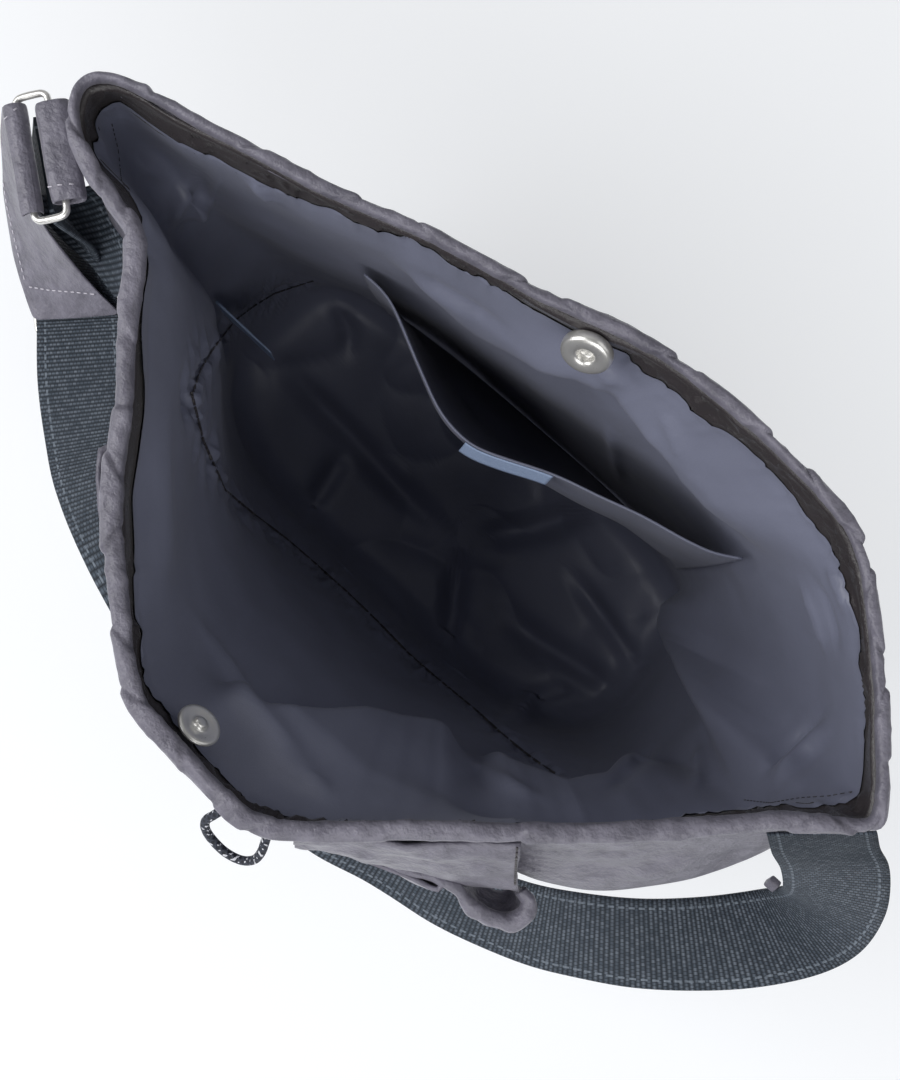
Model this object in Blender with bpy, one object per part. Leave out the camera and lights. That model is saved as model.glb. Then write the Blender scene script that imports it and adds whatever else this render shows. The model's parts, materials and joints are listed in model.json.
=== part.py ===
"""A soft drawstring shoulder bag, standing open on its base.

X runs from the left side seam to the right one, Y points to the back panel and Z up.
The origin is the middle of the base, on the surface that the bag stands on. Lengths
are in metres. Every outline is a short table of stations, whose columns are shares of
the named sizes, and a smooth curve joins the stations.
"""

import math

import bmesh
import bpy
from mathutils import Matrix, Vector

# The bag's form
BAG_HEIGHT = 0.280
MOUTH_HALF_WIDTH = 0.185
MOUTH_BACK = 0.072
MOUTH_FRONT = 0.145
BELLY_HEIGHT = 0.215
BELLY_BACK = 0.073
BELLY_FRONT = 0.137
BASE_HALF_WIDTH = 0.133
BASE_HALF_DEPTH = 0.062
BASE_SQUARENESS = 4.0
BASE_EDGE_RADIUS = 0.004

# Cloth and seams
SHELL_WALL = 0.002
LINING_WALL = 0.001
POCKET_WALL = 0.002
SEAM_GAP = 0.0004
HEM_RADIUS = 0.003
FACING_DROP = 0.0165
FACING_SLANT = 0.010
LINING_LAP = 0.001

# Front pocket and its cord
FRONT_POCKET_TOP = BAG_HEIGHT - 0.048
FRONT_POCKET_DEPTH = 0.011
CORD_DIAMETER = 0.0035

# Inner pocket, its label and the tag in the side seam
INNER_POCKET_TOP = 0.200
INNER_POCKET_BOTTOM = 0.070
INNER_POCKET_HALF_WIDTH = 0.092
INNER_POCKET_MIDDLE = 0.009
INNER_POCKET_SLACK = 0.038
LABEL_WIDTH = 0.034
LABEL_HEIGHT = 0.006
LABEL_MIDDLE = 0.008
LABEL_THICKNESS = 0.0006
TAG_LENGTH = 0.034
TAG_HEIGHT = 0.026
TAG_THICKNESS = 0.0008
TAG_TOP = 0.100

# Strap and its fittings
STRAP_WIDTH = 0.038
STRAP_THICKNESS = 0.0016
COVER_WIDTH = 0.039
COVER_THICKNESS = 0.0014
COVER_LOOP_RADIUS = 0.0036
TAB_WIDTH = 0.035
TAB_REACH = 0.0135
TAB_HEIGHT = 0.008
TAB_MIDDLE_HEIGHT = BAG_HEIGHT - 0.018
WIRE_DIAMETER = 0.003
RING_HALF_LENGTH = 0.022
RING_ACROSS = 0.0125
RING_CORNER = 0.003
SLIDER_WIRE = 0.0024
SLIDER_HALF_LENGTH = 0.0215
SLIDER_HALF_ACROSS = 0.005
KEEPER_SIZE = 0.006

# Magnetic snap
SNAP_RADIUS = 0.0085
SNAP_SEAT = 0.48
SNAP_HOLE = 0.0026
SOCKET_THICKNESS = 0.0045
STUD_THICKNESS = 0.0022
STUD_PLUG = 0.0035

SAMPLES_PER_STATION = 3
INSET_STEP = 0.001
INSET_EASE = 0.15
END_START = 0.75
END_LOSS = 0.65
LEFT_SEAM_STATION = 25
RIGHT_SEAM_STATION = 17

# Each station goes round the bag from the left side seam over the back. The mouth and
# belly columns are shares of their half width, and of their back or front depth.
STATIONS = (
    # mouth x, mouth y, belly x, belly y
    (-0.995, 0.03, -0.995, 0.03),
    (-0.930, 0.17, -0.950, 0.22),
    (-0.820, 0.23, -0.865, 0.31),
    (-0.680, 0.34, -0.720, 0.45),
    (-0.530, 0.44, -0.570, 0.56),
    (-0.310, 0.64, -0.335, 0.74),
    (-0.120, 0.76, -0.140, 0.85),
    (0.060, 0.92, 0.055, 0.96),
    (0.230, 0.99, 0.240, 1.00),
    (0.430, 1.00, 0.430, 0.99),
    (0.610, 0.95, 0.615, 0.92),
    (0.770, 0.64, 0.790, 0.71),
    (0.920, 0.26, 0.935, 0.38),
    (1.000, 0.00, 0.995, -0.02),
    (0.940, -0.08, 0.980, -0.19),
    (0.850, -0.18, 0.915, -0.41),
    (0.690, -0.40, 0.750, -0.66),
    (0.530, -0.59, 0.530, -0.80),
    (0.370, -0.77, 0.380, -0.89),
    (0.190, -0.98, 0.195, -0.98),
    (0.080, -1.00, 0.065, -1.00),
    (-0.040, -0.99, -0.055, -0.99),
    (-0.160, -0.97, -0.170, -0.955),
    (-0.300, -0.83, -0.300, -0.85),
    (-0.440, -0.67, -0.430, -0.70),
    (-0.535, -0.50, -0.530, -0.53),
    (-0.640, -0.345, -0.635, -0.37),
    (-0.740, -0.18, -0.745, -0.23),
    (-0.855, -0.16, -0.865, -0.20),
    (-0.965, -0.08, -0.965, -0.10),
)

# Heights of the shell's rows as shares of the bag's height, from the mouth down.
SHELL_ROWS = (0.90, 0.77, 0.57, 0.36, 0.16, 0.043, 0.014)

# The lining hangs clear of the shell. Slack is added to the facing's lower edge.
LINING_ROWS = (
    # share of height, slack
    (0.90, 0.000),
    (0.77, 0.001),
    (0.57, 0.001),
    (0.16, -0.005),
    (0.043, -0.009),
)

# The front pocket from its left side to its right one. Stand is how far it stands off
# the shell at the mouth, and body stand further down, as shares of the pocket's depth.
POCKET_COLUMNS = (
    # share of the way, stand, body stand
    (0.00, 0.22, 0.22),
    (0.03, 1.45, 0.40),
    (0.10, 1.35, 0.55),
    (0.22, 1.00, 0.75),
    (0.36, 1.00, 0.90),
    (0.50, 1.05, 1.00),
    (0.64, 1.00, 1.00),
    (0.78, 0.95, 1.00),
    (0.90, 1.30, 1.00),
    (0.97, 1.60, 0.90),
    (1.00, 0.22, 0.22),
)

# Rows of the front pocket under its mouth. They take in the shell's own rows.
POCKET_ROWS = (
    # share of the bag's height, share of mouth stand, share of body stand
    (0.770, 0.85, 0.15),
    (0.735, 0.45, 0.30),
    (0.700, 0.00, 0.60),
    (0.570, 0.00, 1.00),
    (0.360, 0.00, 1.10),
    (0.160, 0.00, 0.00),
)

# The inner pocket from left to right, and how far its mouth sags off the back wall.
INNER_COLUMNS = (
    # share of half width, share of slack
    (-1.00, 0.00),
    (-0.86, 0.08),
    (-0.57, 0.55),
    (-0.35, 0.89),
    (-0.18, 1.00),
    (0.16, 0.80),
    (0.36, 0.70),
    (0.57, 0.50),
    (0.75, 0.36),
    (0.90, 0.20),
    (1.00, 0.00),
)
INNER_ROWS = (
    # share of the pocket's height, share of slack
    (1.00, 1.00),
    (0.77, 0.95),
    (0.50, 0.82),
    (0.22, 0.50),
    (0.00, 0.00),
)

# The strap's middle line as shares of half width, front depth and height of the mouth,
# with the heading of its outer edge and that edge's lift, in degrees.
STRAP_ROUTE = (
    ("under the ring", -0.989, -0.197, 0.884, 143.0, 0.0),
    ("inner ply", -0.962, -0.234, 0.829, 165.0, -22.0),
    ("inner ply turning", -0.919, -0.283, 0.775, 195.0, -38.0),
    ("meets the cover", -0.865, -0.352, 0.736, 213.0, -33.0),
    ("cover ends", -0.813, -0.410, 0.718, 222.0, -22.0),
    ("left quarter", -0.728, -0.517, 0.714, 225.0, -18.0),
    ("over the pocket corner", -0.646, -0.621, 0.686, 229.0, -20.0),
    ("leaving the corner", -0.577, -0.710, 0.636, 238.0, -23.0),
    ("falling", -0.464, -0.819, 0.529, 250.0, -25.0),
    ("low left", -0.194, -0.980, 0.386, 264.0, -25.0),
    ("lowest", 0.010, -1.038, 0.336, 270.0, -25.0),
    ("low right", 0.297, -1.041, 0.329, 277.0, -25.0),
    ("rising", 0.467, -0.982, 0.350, 283.0, -25.0),
    ("right quarter", 0.631, -0.927, 0.400, 290.0, -25.0),
    ("past the pocket", 0.761, -0.846, 0.471, 299.0, -22.0),
    ("swinging out", 0.864, -0.754, 0.536, 310.0, -17.0),
    ("out", 0.983, -0.626, 0.582, 316.0, -10.0),
    ("before the crease", 1.091, -0.484, 0.607, 323.0, 0.0),
    ("crease", 1.167, -0.340, 0.643, 338.0, 8.0),
    ("after the crease", 1.179, -0.247, 0.700, 362.0, 10.0),
    ("turning back", 1.115, -0.184, 0.814, 388.0, 8.0),
    ("near the seam", 1.030, -0.136, 0.907, 401.0, 4.0),
    ("under the hem", 0.976, -0.121, 0.941, 403.5, 0.0),
    ("sewn end", 0.938, -0.101, 0.964, 403.0, 0.0),
)
COVER_END_ROW = 4
CREASE_ROW = 19

# The nylon cover's outer ply below the ring, in the strap's columns.
COVER_ROUTE = (
    ("below the bar", -1.023, -0.226, 0.900, 152.0, -5.0),
    ("outer ply", -1.012, -0.271, 0.850, 168.0, -30.0),
    ("turning", -0.970, -0.330, 0.800, 196.0, -48.0),
    ("flattening", -0.891, -0.382, 0.757, 214.0, -38.0),
    ("end seam", -0.813, -0.410, 0.7285, 222.0, -22.0),
)
COVER_WRAP = (205.0, 165.0, 125.0, 85.0, 45.0, 10.0)

# The cord's loop at the pocket's mouth, out of one eyelet and back into the other.
CORD_ROUTE = (
    (0.0195, -0.1489, 0.2260),
    (0.0192, -0.1530, 0.2264),
    (0.0180, -0.1580, 0.2258),
    (0.0171, -0.1622, 0.2232),
    (0.0193, -0.1655, 0.2190),
    (0.0245, -0.1675, 0.2150),
    (0.0310, -0.1680, 0.2125),
    (0.0370, -0.1662, 0.2125),
    (0.0402, -0.1625, 0.2150),
    (0.0402, -0.1580, 0.2195),
    (0.0385, -0.1535, 0.2230),
    (0.0370, -0.1500, 0.2248),
    (0.0362, -0.1457, 0.2254),
)

# Where the side tab is sewn on, with its direction along the bag and away from it.
TAB_ROOT = Vector((-0.936 * MOUTH_HALF_WIDTH, -0.106 * MOUTH_FRONT, 0.0))
TAB_ALONG = Vector((0.8, -0.6, 0.0))
TAB_OUT = Vector((-0.6, -0.8, 0.0))

FINISHES = {
    # colour, roughness, metallic
    "outer_nylon": ((0.30, 0.27, 0.31), 0.55, 0.0),
    "facing_satin": ((0.020, 0.016, 0.016), 0.40, 0.0),
    "lining_satin": ((0.10, 0.11, 0.19), 0.42, 0.0),
    "webbing": ((0.030, 0.045, 0.062), 0.75, 0.0),
    "cord_braid": ((0.018, 0.022, 0.035), 0.70, 0.0),
    "label_cloth": ((0.42, 0.52, 0.70), 0.70, 0.0),
    "satin_nickel": ((0.58, 0.56, 0.53), 0.30, 1.0),
}


def finish(name):
    """The named material, made once."""
    material = bpy.data.materials.get(name)
    if material is None:
        colour, roughness, metallic = FINISHES[name]
        material = bpy.data.materials.new(name)
        material.use_nodes = True
        shader = material.node_tree.nodes["Principled BSDF"]
        shader.inputs["Base Color"].default_value = (*colour, 1.0)
        shader.inputs["Roughness"].default_value = roughness
        shader.inputs["Metallic"].default_value = metallic
    return material


def add_object(name, data, material):
    """Links a mesh or a curve into the scene as one named piece."""
    data.materials.append(finish(material))
    piece = bpy.data.objects.new(name, data)
    bpy.context.collection.objects.link(piece)
    return piece


def add_mesh(name, bm, material):
    """Turns a bmesh into a smooth-shaded piece whose faces point outwards."""
    bmesh.ops.recalc_face_normals(bm, faces=bm.faces)
    mesh = bpy.data.meshes.new(name)
    bm.to_mesh(mesh)
    bm.free()
    mesh.shade_smooth()
    return add_object(name, mesh, material)


def curve_point(before, start, end, after, share):
    """A point of the smooth curve between start and end."""
    a = (end - before) * 0.5
    b = (after - start) * 0.5
    s = share
    return (
        start * (2 * s**3 - 3 * s**2 + 1)
        + a * (s**3 - 2 * s**2 + s)
        + end * (3 * s**2 - 2 * s**3)
        + b * (s**3 - s**2)
    )


def closed_curve(points, per_span):
    """Points of a smooth closed curve through the given ones."""
    count = len(points)
    curve = []
    for i in range(count):
        near = [points[(i + k) % count] for k in (-1, 0, 1, 2)]
        curve += [curve_point(*near, step / per_span) for step in range(per_span)]
    return curve


def open_curve(points, per_span):
    """Points of a smooth open curve through the given ones."""
    ends = [points[0] * 2 - points[1], *points, points[-1] * 2 - points[-2]]
    curve = []
    for i in range(len(points) - 1):
        near = ends[i : i + 4]
        curve += [curve_point(*near, step / per_span) for step in range(per_span)]
    return curve + [points[-1]]


def mouth_stations():
    for x, y, _, _ in STATIONS:
        yield Vector((x * MOUTH_HALF_WIDTH, y * (MOUTH_BACK if y > 0 else MOUTH_FRONT), 0))


def belly_stations():
    for _, _, x, y in STATIONS:
        yield Vector((x * MOUTH_HALF_WIDTH, y * (BELLY_BACK if y > 0 else BELLY_FRONT), 0))


def base_stations():
    """The base's rounded rectangle, met at each belly station's own direction."""
    for _, _, x, y in STATIONS:
        angle = math.atan2(y, x)
        along, across = math.cos(angle), math.sin(angle)
        power = 2 / BASE_SQUARENESS
        yield Vector(
            (
                math.copysign(abs(along) ** power, along) * BASE_HALF_WIDTH,
                math.copysign(abs(across) ** power, across) * BASE_HALF_DEPTH,
                0,
            )
        )


MOUTH_CURVE = closed_curve(list(mouth_stations()), SAMPLES_PER_STATION)
BELLY_CURVE = closed_curve(list(belly_stations()), SAMPLES_PER_STATION)
BASE_CURVE = closed_curve(list(base_stations()), SAMPLES_PER_STATION)


def outline(height):
    """The bag's outer outline at a height: base to belly, then belly to mouth."""
    if height < BELLY_HEIGHT:
        low, high, share = BASE_CURVE, BELLY_CURVE, height / BELLY_HEIGHT
    else:
        low, high = BELLY_CURVE, MOUTH_CURVE
        share = (height - BELLY_HEIGHT) / (BAG_HEIGHT - BELLY_HEIGHT)
        share = share * share * (3 - 2 * share)
    return [a.lerp(b, share) + Vector((0, 0, height)) for a, b in zip(low, high)]


def inward(ring):
    """Level unit vectors that point into a ring, one for each of its points."""
    vectors = []
    for i in range(len(ring)):
        along = ring[(i + 1) % len(ring)] - ring[i - 1]
        vectors.append(Vector((along.y, -along.x, 0)).normalized())
    return vectors


def inset(ring, depth, share=None):
    """The ring moved inwards, by a share of the depth at each point where shares are given.

    Its outward corners are eased, so that it never crosses itself.
    """
    steps = math.ceil(depth / INSET_STEP)
    step = depth / steps
    ease = INSET_EASE * step / INSET_STEP
    share = share or [1.0] * len(ring)
    for _ in range(steps):
        moves = inward(ring)
        ring = [point + move * step * part for point, move, part in zip(ring, moves, share)]
        eased = []
        for i, point in enumerate(ring):
            pull = (ring[i - 1] + ring[(i + 1) % len(ring)]) / 2 - point
            eased.append(point + pull * ease if pull.dot(moves[i]) > 0 else point)
        ring = eased
    return ring


def end_shares(ring):
    """Shares that fall towards the bag's two narrow ends, where the slants are shallower."""
    shares = []
    for point in ring:
        near = abs(point.x) / max(abs(p.x) for p in ring)
        near = min(max((near - END_START) / (1 - END_START), 0.0), 1.0)
        shares.append(1 - END_LOSS * near * near * (3 - 2 * near))
    return shares


def slanted(ring, depth):
    """The ring moved inwards by a depth that is smaller at the bag's narrow ends."""
    return inset(ring, depth, end_shares(ring)) if depth > 0 else ring


def skin(name, outer, inner, material, wrap=True, floor=False):
    """A wall between two grids of points: closed round if wrap, closed below if floor."""
    bm = bmesh.new()
    grids = [[[bm.verts.new(p) for p in row] for row in grid] for grid in (outer, inner)]
    columns = len(outer[0])
    spans = range(columns if wrap else columns - 1)
    for grid in grids:
        for upper, lower in zip(grid, grid[1:]):
            for c in spans:
                d = (c + 1) % columns
                bm.faces.new((upper[c], upper[d], lower[d], lower[c]))
    for row in (0,) if floor else (0, -1):
        near, far = grids[0][row], grids[1][row]
        for c in spans:
            d = (c + 1) % columns
            bm.faces.new((near[c], near[d], far[d], far[c]))
    if floor:
        for grid in grids:
            bm.faces.new(grid[-1])
    if not wrap:
        for c in (0, -1):
            for r in range(len(outer) - 1):
                a, b = grids
                bm.faces.new((a[r][c], a[r + 1][c], b[r + 1][c], b[r][c]))
    return add_mesh(name, bm, material)


HEM_HEIGHT = BAG_HEIGHT - HEM_RADIUS
WALL_TOP = HEM_HEIGHT - HEM_RADIUS - SEAM_GAP
SHELL_DEPTH = HEM_RADIUS - SHELL_WALL
FACING_DEPTH = SHELL_DEPTH + SHELL_WALL + SEAM_GAP
FACING_BOTTOM = WALL_TOP - FACING_DROP


def shell_rows():
    """The shell's outer side, from under the hem down to its lowest upright row."""
    heights = [WALL_TOP] + [share * BAG_HEIGHT for share in SHELL_ROWS]
    return [inset(outline(z), SHELL_DEPTH) for z in heights]


def row_between(rows, height):
    """The level row of a lofted wall at any height between its rows."""
    for upper, lower in zip(rows, rows[1:]):
        if height >= lower[0].z:
            share = (height - lower[0].z) / (upper[0].z - lower[0].z)
            return [a.lerp(b, share) for a, b in zip(lower, upper)]
    return rows[-1]


def make_outer_body():
    outer = shell_rows()
    inner = [inset(row, SHELL_WALL) for row in outer]
    sole = inset(outline(0.0), BASE_EDGE_RADIUS)
    outer.append(sole)
    inner.append([p + Vector((0, 0, SHELL_WALL)) for p in inset(sole, SHELL_WALL)])
    return skin("outer_body", outer, inner, "outer_nylon", floor=True)


def make_rim_hem(sides=8):
    """The padded roll round the mouth."""
    rim = [p + Vector((0, 0, HEM_HEIGHT - BAG_HEIGHT)) for p in outline(BAG_HEIGHT)]
    centres = inset(rim, HEM_RADIUS)
    moves = inward(centres)
    bm = bmesh.new()
    rows = []
    for centre, move in zip(centres, moves):
        row = []
        for i in range(sides):
            angle = 2 * math.pi * (i + 0.5) / sides
            offset = move * math.cos(angle) + Vector((0, 0, math.sin(angle)))
            row.append(bm.verts.new(centre + offset * HEM_RADIUS / math.cos(math.pi / sides)))
        rows.append(row)
    for i, row in enumerate(rows):
        after = rows[(i + 1) % len(rows)]
        for c in range(sides):
            d = (c + 1) % sides
            bm.faces.new((row[c], row[d], after[d], after[c]))
    return add_mesh("rim_hem", bm, "outer_nylon")


def facing_ring(share):
    """The facing's outer side: 0 is under the hem and 1 is its lower edge."""
    height = WALL_TOP - share * FACING_DROP
    return slanted(inset(outline(height), FACING_DEPTH), share * FACING_SLANT)


def make_mouth_facing():
    outer = [facing_ring(0.0), facing_ring(1.0)]
    inner = [inset(row, LINING_WALL) for row in outer]
    return skin("mouth_facing", outer, inner, "facing_satin")


def lining_ring(height, slack):
    ring = slanted(inset(outline(height), FACING_DEPTH), FACING_SLANT + slack)
    return inset(ring, LINING_WALL + 1.5 * SEAM_GAP)


def lining_rows():
    """The lining's outer side, from the lap over the facing down to the bottom panel."""
    edge = inset(facing_ring(1.0), LINING_WALL + 1.5 * SEAM_GAP)
    rows = [[p + Vector((0, 0, LINING_LAP)) for p in edge], edge]
    rows += [lining_ring(share * BAG_HEIGHT, slack) for share, slack in LINING_ROWS]
    return rows


def make_lining():
    outer = lining_rows()
    inner = [inset(row, LINING_WALL) for row in outer]
    clear = SHELL_WALL + 1.5 * SEAM_GAP
    panel = [Vector((p.x, p.y, clear)) for p in inset(outer[-1], 2 * BASE_EDGE_RADIUS)]
    outer.append(panel)
    inner.append([p + Vector((0, 0, LINING_WALL)) for p in inset(panel, LINING_WALL)])
    return skin("lining", outer, inner, "lining_satin", floor=True)


def lining_face(height):
    """The lining's inner side at any height between its rows."""
    return row_between([inset(row, LINING_WALL) for row in lining_rows()], height)


def back_depth(ring, x):
    """Where the ring's back side is, at an x."""
    back = ring[: RIGHT_SEAM_STATION * SAMPLES_PER_STATION - 12]
    for a, b in zip(back, back[1:]):
        if a.x <= x <= b.x:
            return a.y + (b.y - a.y) * (x - a.x) / (b.x - a.x)
    return back[-1].y


def inner_pocket_row(share, slack_share, lift):
    """One level row of the inner pocket, at a height share and a distance off its back side."""
    height = INNER_POCKET_BOTTOM + share * (INNER_POCKET_TOP - INNER_POCKET_BOTTOM)
    wall = lining_face(height)
    row = []
    for across, slack in INNER_COLUMNS:
        x = INNER_POCKET_MIDDLE + across * INNER_POCKET_HALF_WIDTH
        off = SEAM_GAP * 2 + slack * slack_share * INNER_POCKET_SLACK + lift
        row.append(Vector((x, back_depth(wall, x) - off, height)))
    return row


def make_inner_pocket():
    front = [inner_pocket_row(*row, LINING_WALL) for row in INNER_ROWS]
    back = [inner_pocket_row(*row, 0.0) for row in INNER_ROWS]
    return skin("inner_pocket", front, back, "lining_satin", wrap=False)


def row_at(row, x):
    """The point of a row of points at an x."""
    for a, b in zip(row, row[1:]):
        if a.x <= x <= b.x:
            return a.lerp(b, (x - a.x) / (b.x - a.x))
    return row[-1]


def make_pocket_label():
    """A plain woven label on the front of the inner pocket's mouth."""
    ends = [LABEL_MIDDLE + side * LABEL_WIDTH / 2 for side in (-1, 1)]
    places = [INNER_POCKET_MIDDLE + c[0] * INNER_POCKET_HALF_WIDTH for c in INNER_COLUMNS]
    places = [ends[0], *(x for x in places if ends[0] < x < ends[1]), ends[1]]
    top = inner_pocket_row(*INNER_ROWS[0], LINING_WALL)
    below = inner_pocket_row(*INNER_ROWS[1], LINING_WALL)
    fall = LABEL_HEIGHT / (top[0].z - below[0].z)
    off = Vector((0, -SEAM_GAP, 0))
    wall = Vector((0, -LABEL_THICKNESS, 0))
    rows = []
    for share in (0.05, 0.05 + fall):
        rows.append([row_at(top, x).lerp(row_at(below, x), share) + off for x in places])
    front = [[p + wall for p in row] for row in rows]
    return skin("pocket_label", front, rows, "label_cloth", wrap=False)


def make_inner_tag():
    """A plain folded tag, sewn into the left side seam and seen on its edge."""
    wall = lining_face(TAG_TOP - TAG_HEIGHT / 2)
    lowest = lining_face(TAG_TOP - TAG_HEIGHT)
    sample = (LEFT_SEAM_STATION + 4) * SAMPLES_PER_STATION
    start = Vector((max(wall[sample].x, lowest[sample].x) + SEAM_GAP, wall[sample].y, 0))
    faces = []
    for side in (-0.5, 0.5):
        off = Vector((0, side * TAG_THICKNESS, 0))
        rows = []
        for z in (TAG_TOP, TAG_TOP - TAG_HEIGHT):
            rows.append([start + off + Vector((x, 0, z)) for x in (0, TAG_LENGTH / 2, TAG_LENGTH)])
        faces.append(rows)
    return skin("inner_tag", *faces, "label_cloth", wrap=False)


def share_at(table, way):
    """A table's columns after its first, read between its rows at a way along it."""
    for low, high in zip(table, table[1:]):
        if way <= high[0]:
            share = (way - low[0]) / (high[0] - low[0])
            return [a + (b - a) * share for a, b in zip(low[1:], high[1:])]
    return list(table[-1][1:])


def pocket_grid(lift):
    """The front pocket's points, at a distance off its own inner side."""
    first = RIGHT_SEAM_STATION * SAMPLES_PER_STATION
    last = LEFT_SEAM_STATION * SAMPLES_PER_STATION
    places = range(last, first - 1, -1)
    shell = shell_rows()
    rings = [(row_between(shell, FRONT_POCKET_TOP), 1.0, 0.0)]
    for share, mouth_share, body_share in POCKET_ROWS:
        rings.append((row_between(shell, share * BAG_HEIGHT), mouth_share, body_share))
    edge = POCKET_COLUMNS[0][1]
    grid = []
    for ring, mouth_share, body_share in rings:
        moves = inward(ring)
        row = []
        for place in places:
            stand, body_stand = share_at(POCKET_COLUMNS, (last - place) / (last - first))
            off = max(edge, mouth_share * stand + body_share * body_stand)
            off = max(off * FRONT_POCKET_DEPTH - POCKET_WALL, SEAM_GAP)
            row.append(ring[place] - moves[place] * (off + lift))
        grid.append(row)
    return grid


def make_front_pocket():
    return skin(
        "front_pocket", pocket_grid(POCKET_WALL), pocket_grid(0.0), "outer_nylon", wrap=False
    )


def add_wire(name, points, diameter, material, cyclic, resolution=2):
    """A round wire or cord along a line of points."""
    curve = bpy.data.curves.new(name, "CURVE")
    curve.dimensions = "3D"
    curve.bevel_depth = diameter / 2
    curve.bevel_resolution = resolution
    curve.use_fill_caps = True
    spline = curve.splines.new("POLY")
    spline.points.add(len(points) - 1)
    for slot, point in zip(spline.points, points):
        slot.co = (*point, 1.0)
    spline.use_cyclic_u = cyclic
    return add_object(name, curve, material)


def wire_rectangle(centre, along, across, half_length, half_across, corner, steps=3):
    """The middle line of a wire bent into a rectangle with round corners."""
    points = []
    for quarter in range(4):
        side_a = 1 if quarter in (0, 3) else -1
        side_b = 1 if quarter in (0, 1) else -1
        for step in range(steps + 1):
            angle = math.radians(90 * (quarter + step / steps))
            a = side_a * (half_length - corner) + corner * math.cos(angle)
            b = side_b * (half_across - corner) + corner * math.sin(angle)
            points.append(centre + along * a + across * b)
    return points


def tab_point(out, height):
    return TAB_ROOT + TAB_OUT * out + Vector((0, 0, height))


RING_INNER_BAR = tab_point(0.008, TAB_MIDDLE_HEIGHT)
RING_OUTER_BAR = tab_point(0.008 + RING_ACROSS, TAB_MIDDLE_HEIGHT - 0.0025)


def make_side_tab(steps=4):
    """The flat loop of nylon that holds the ring, open along the bag."""

    def section(shrink):
        half = TAB_HEIGHT / 2 - shrink
        near, far = 0.0005 + TAB_HEIGHT / 2, TAB_REACH - TAB_HEIGHT / 2
        row = []
        for centre, turn in ((far, -90), (near, 90)):
            for step in range(steps + 1):
                angle = math.radians(turn + 180 * step / steps)
                reach = centre + half * math.cos(angle)
                row.append(tab_point(reach, TAB_MIDDLE_HEIGHT + half * math.sin(angle)))
        return row

    ends = [TAB_ALONG * side * TAB_WIDTH / 2 for side in (-1, 1)]
    outer = [[p + end for p in section(0.0)] for end in ends]
    inner = [[p + end for p in section(POCKET_WALL)] for end in ends]
    return skin("side_tab", outer, inner, "outer_nylon")


def make_ring():
    centre = (RING_INNER_BAR + RING_OUTER_BAR) / 2
    across = (RING_OUTER_BAR - RING_INNER_BAR).normalized()
    points = wire_rectangle(
        centre, TAB_ALONG, across, RING_HALF_LENGTH, RING_ACROSS / 2, RING_CORNER
    )
    return add_wire("strap_ring", points, WIRE_DIAMETER, "satin_nickel", cyclic=True)


def route_rows(route):
    """Middle points of a strap route, and the unit vectors to its outer edge."""
    centres, edges = [], []
    for _, x, y, z, heading, lift in route:
        centres.append(Vector((x * MOUTH_HALF_WIDTH, y * MOUTH_FRONT, z * BAG_HEIGHT)))
        turn, rise = math.radians(heading), math.radians(lift)
        level = math.cos(rise)
        edges.append(Vector((level * math.cos(turn), level * math.sin(turn), math.sin(rise))))
    return centres, edges


def ribbon(name, centres, edges, width, thickness, material, per_span=3):
    """A flat band along a smooth line, with its width along the given vectors."""
    centres = open_curve(centres, per_span)
    edges = [edge.normalized() for edge in open_curve(edges, per_span)]
    upper, lower = [], []
    for i, (centre, edge) in enumerate(zip(centres, edges)):
        after = centres[min(i + 1, len(centres) - 1)]
        along = after - centres[max(i - 1, 0)]
        face = edge.cross(along).normalized() * thickness / 2
        half = edge * width / 2
        upper.append([centre + half + face, centre + face, centre - half + face])
        lower.append([centre + half - face, centre - face, centre - half - face])
    return skin(name, upper, lower, material, wrap=False)


def make_strap():
    centres, edges = route_rows(STRAP_ROUTE)
    return ribbon("strap", centres, edges, STRAP_WIDTH, STRAP_THICKNESS, "webbing")


def make_strap_end_cover():
    """The nylon cover of the strap's end: round the ring's outer bar, then down outside it."""
    centres, edges = [], []
    for angle in COVER_WRAP:
        turn = math.radians(angle)
        arm = TAB_OUT * math.cos(turn) + Vector((0, 0, math.sin(turn)))
        centres.append(RING_OUTER_BAR + arm * COVER_LOOP_RADIUS)
        edges.append(-TAB_ALONG)
    outer_centres, outer_edges = route_rows(COVER_ROUTE)
    return ribbon(
        "strap_end_cover",
        centres + outer_centres,
        edges + outer_edges,
        COVER_WIDTH,
        COVER_THICKNESS,
        "outer_nylon",
        per_span=2,
    )


def strap_frame(row):
    """The strap's middle, its outer edge's direction, its run and its face, at a route row."""
    centres, edges = route_rows(STRAP_ROUTE)
    run = (centres[row + 1] - centres[row - 1]).normalized()
    edge = edges[row]
    return centres[row], edge, run, edge.cross(run).normalized()


def make_slide_adjuster():
    """The wire slide under the strap where its nylon cover ends."""
    centre, edge, _, face = strap_frame(COVER_END_ROW)
    if face.z > 0:
        face = -face
    below = STRAP_THICKNESS / 2 + SLIDER_WIRE / 2 + 2 * SEAM_GAP
    points = wire_rectangle(
        centre + face * below,
        edge,
        edge.cross(face),
        SLIDER_HALF_LENGTH,
        SLIDER_HALF_ACROSS,
        SLIDER_WIRE,
    )
    return add_wire("slide_adjuster", points, SLIDER_WIRE, "satin_nickel", cyclic=True)


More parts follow.
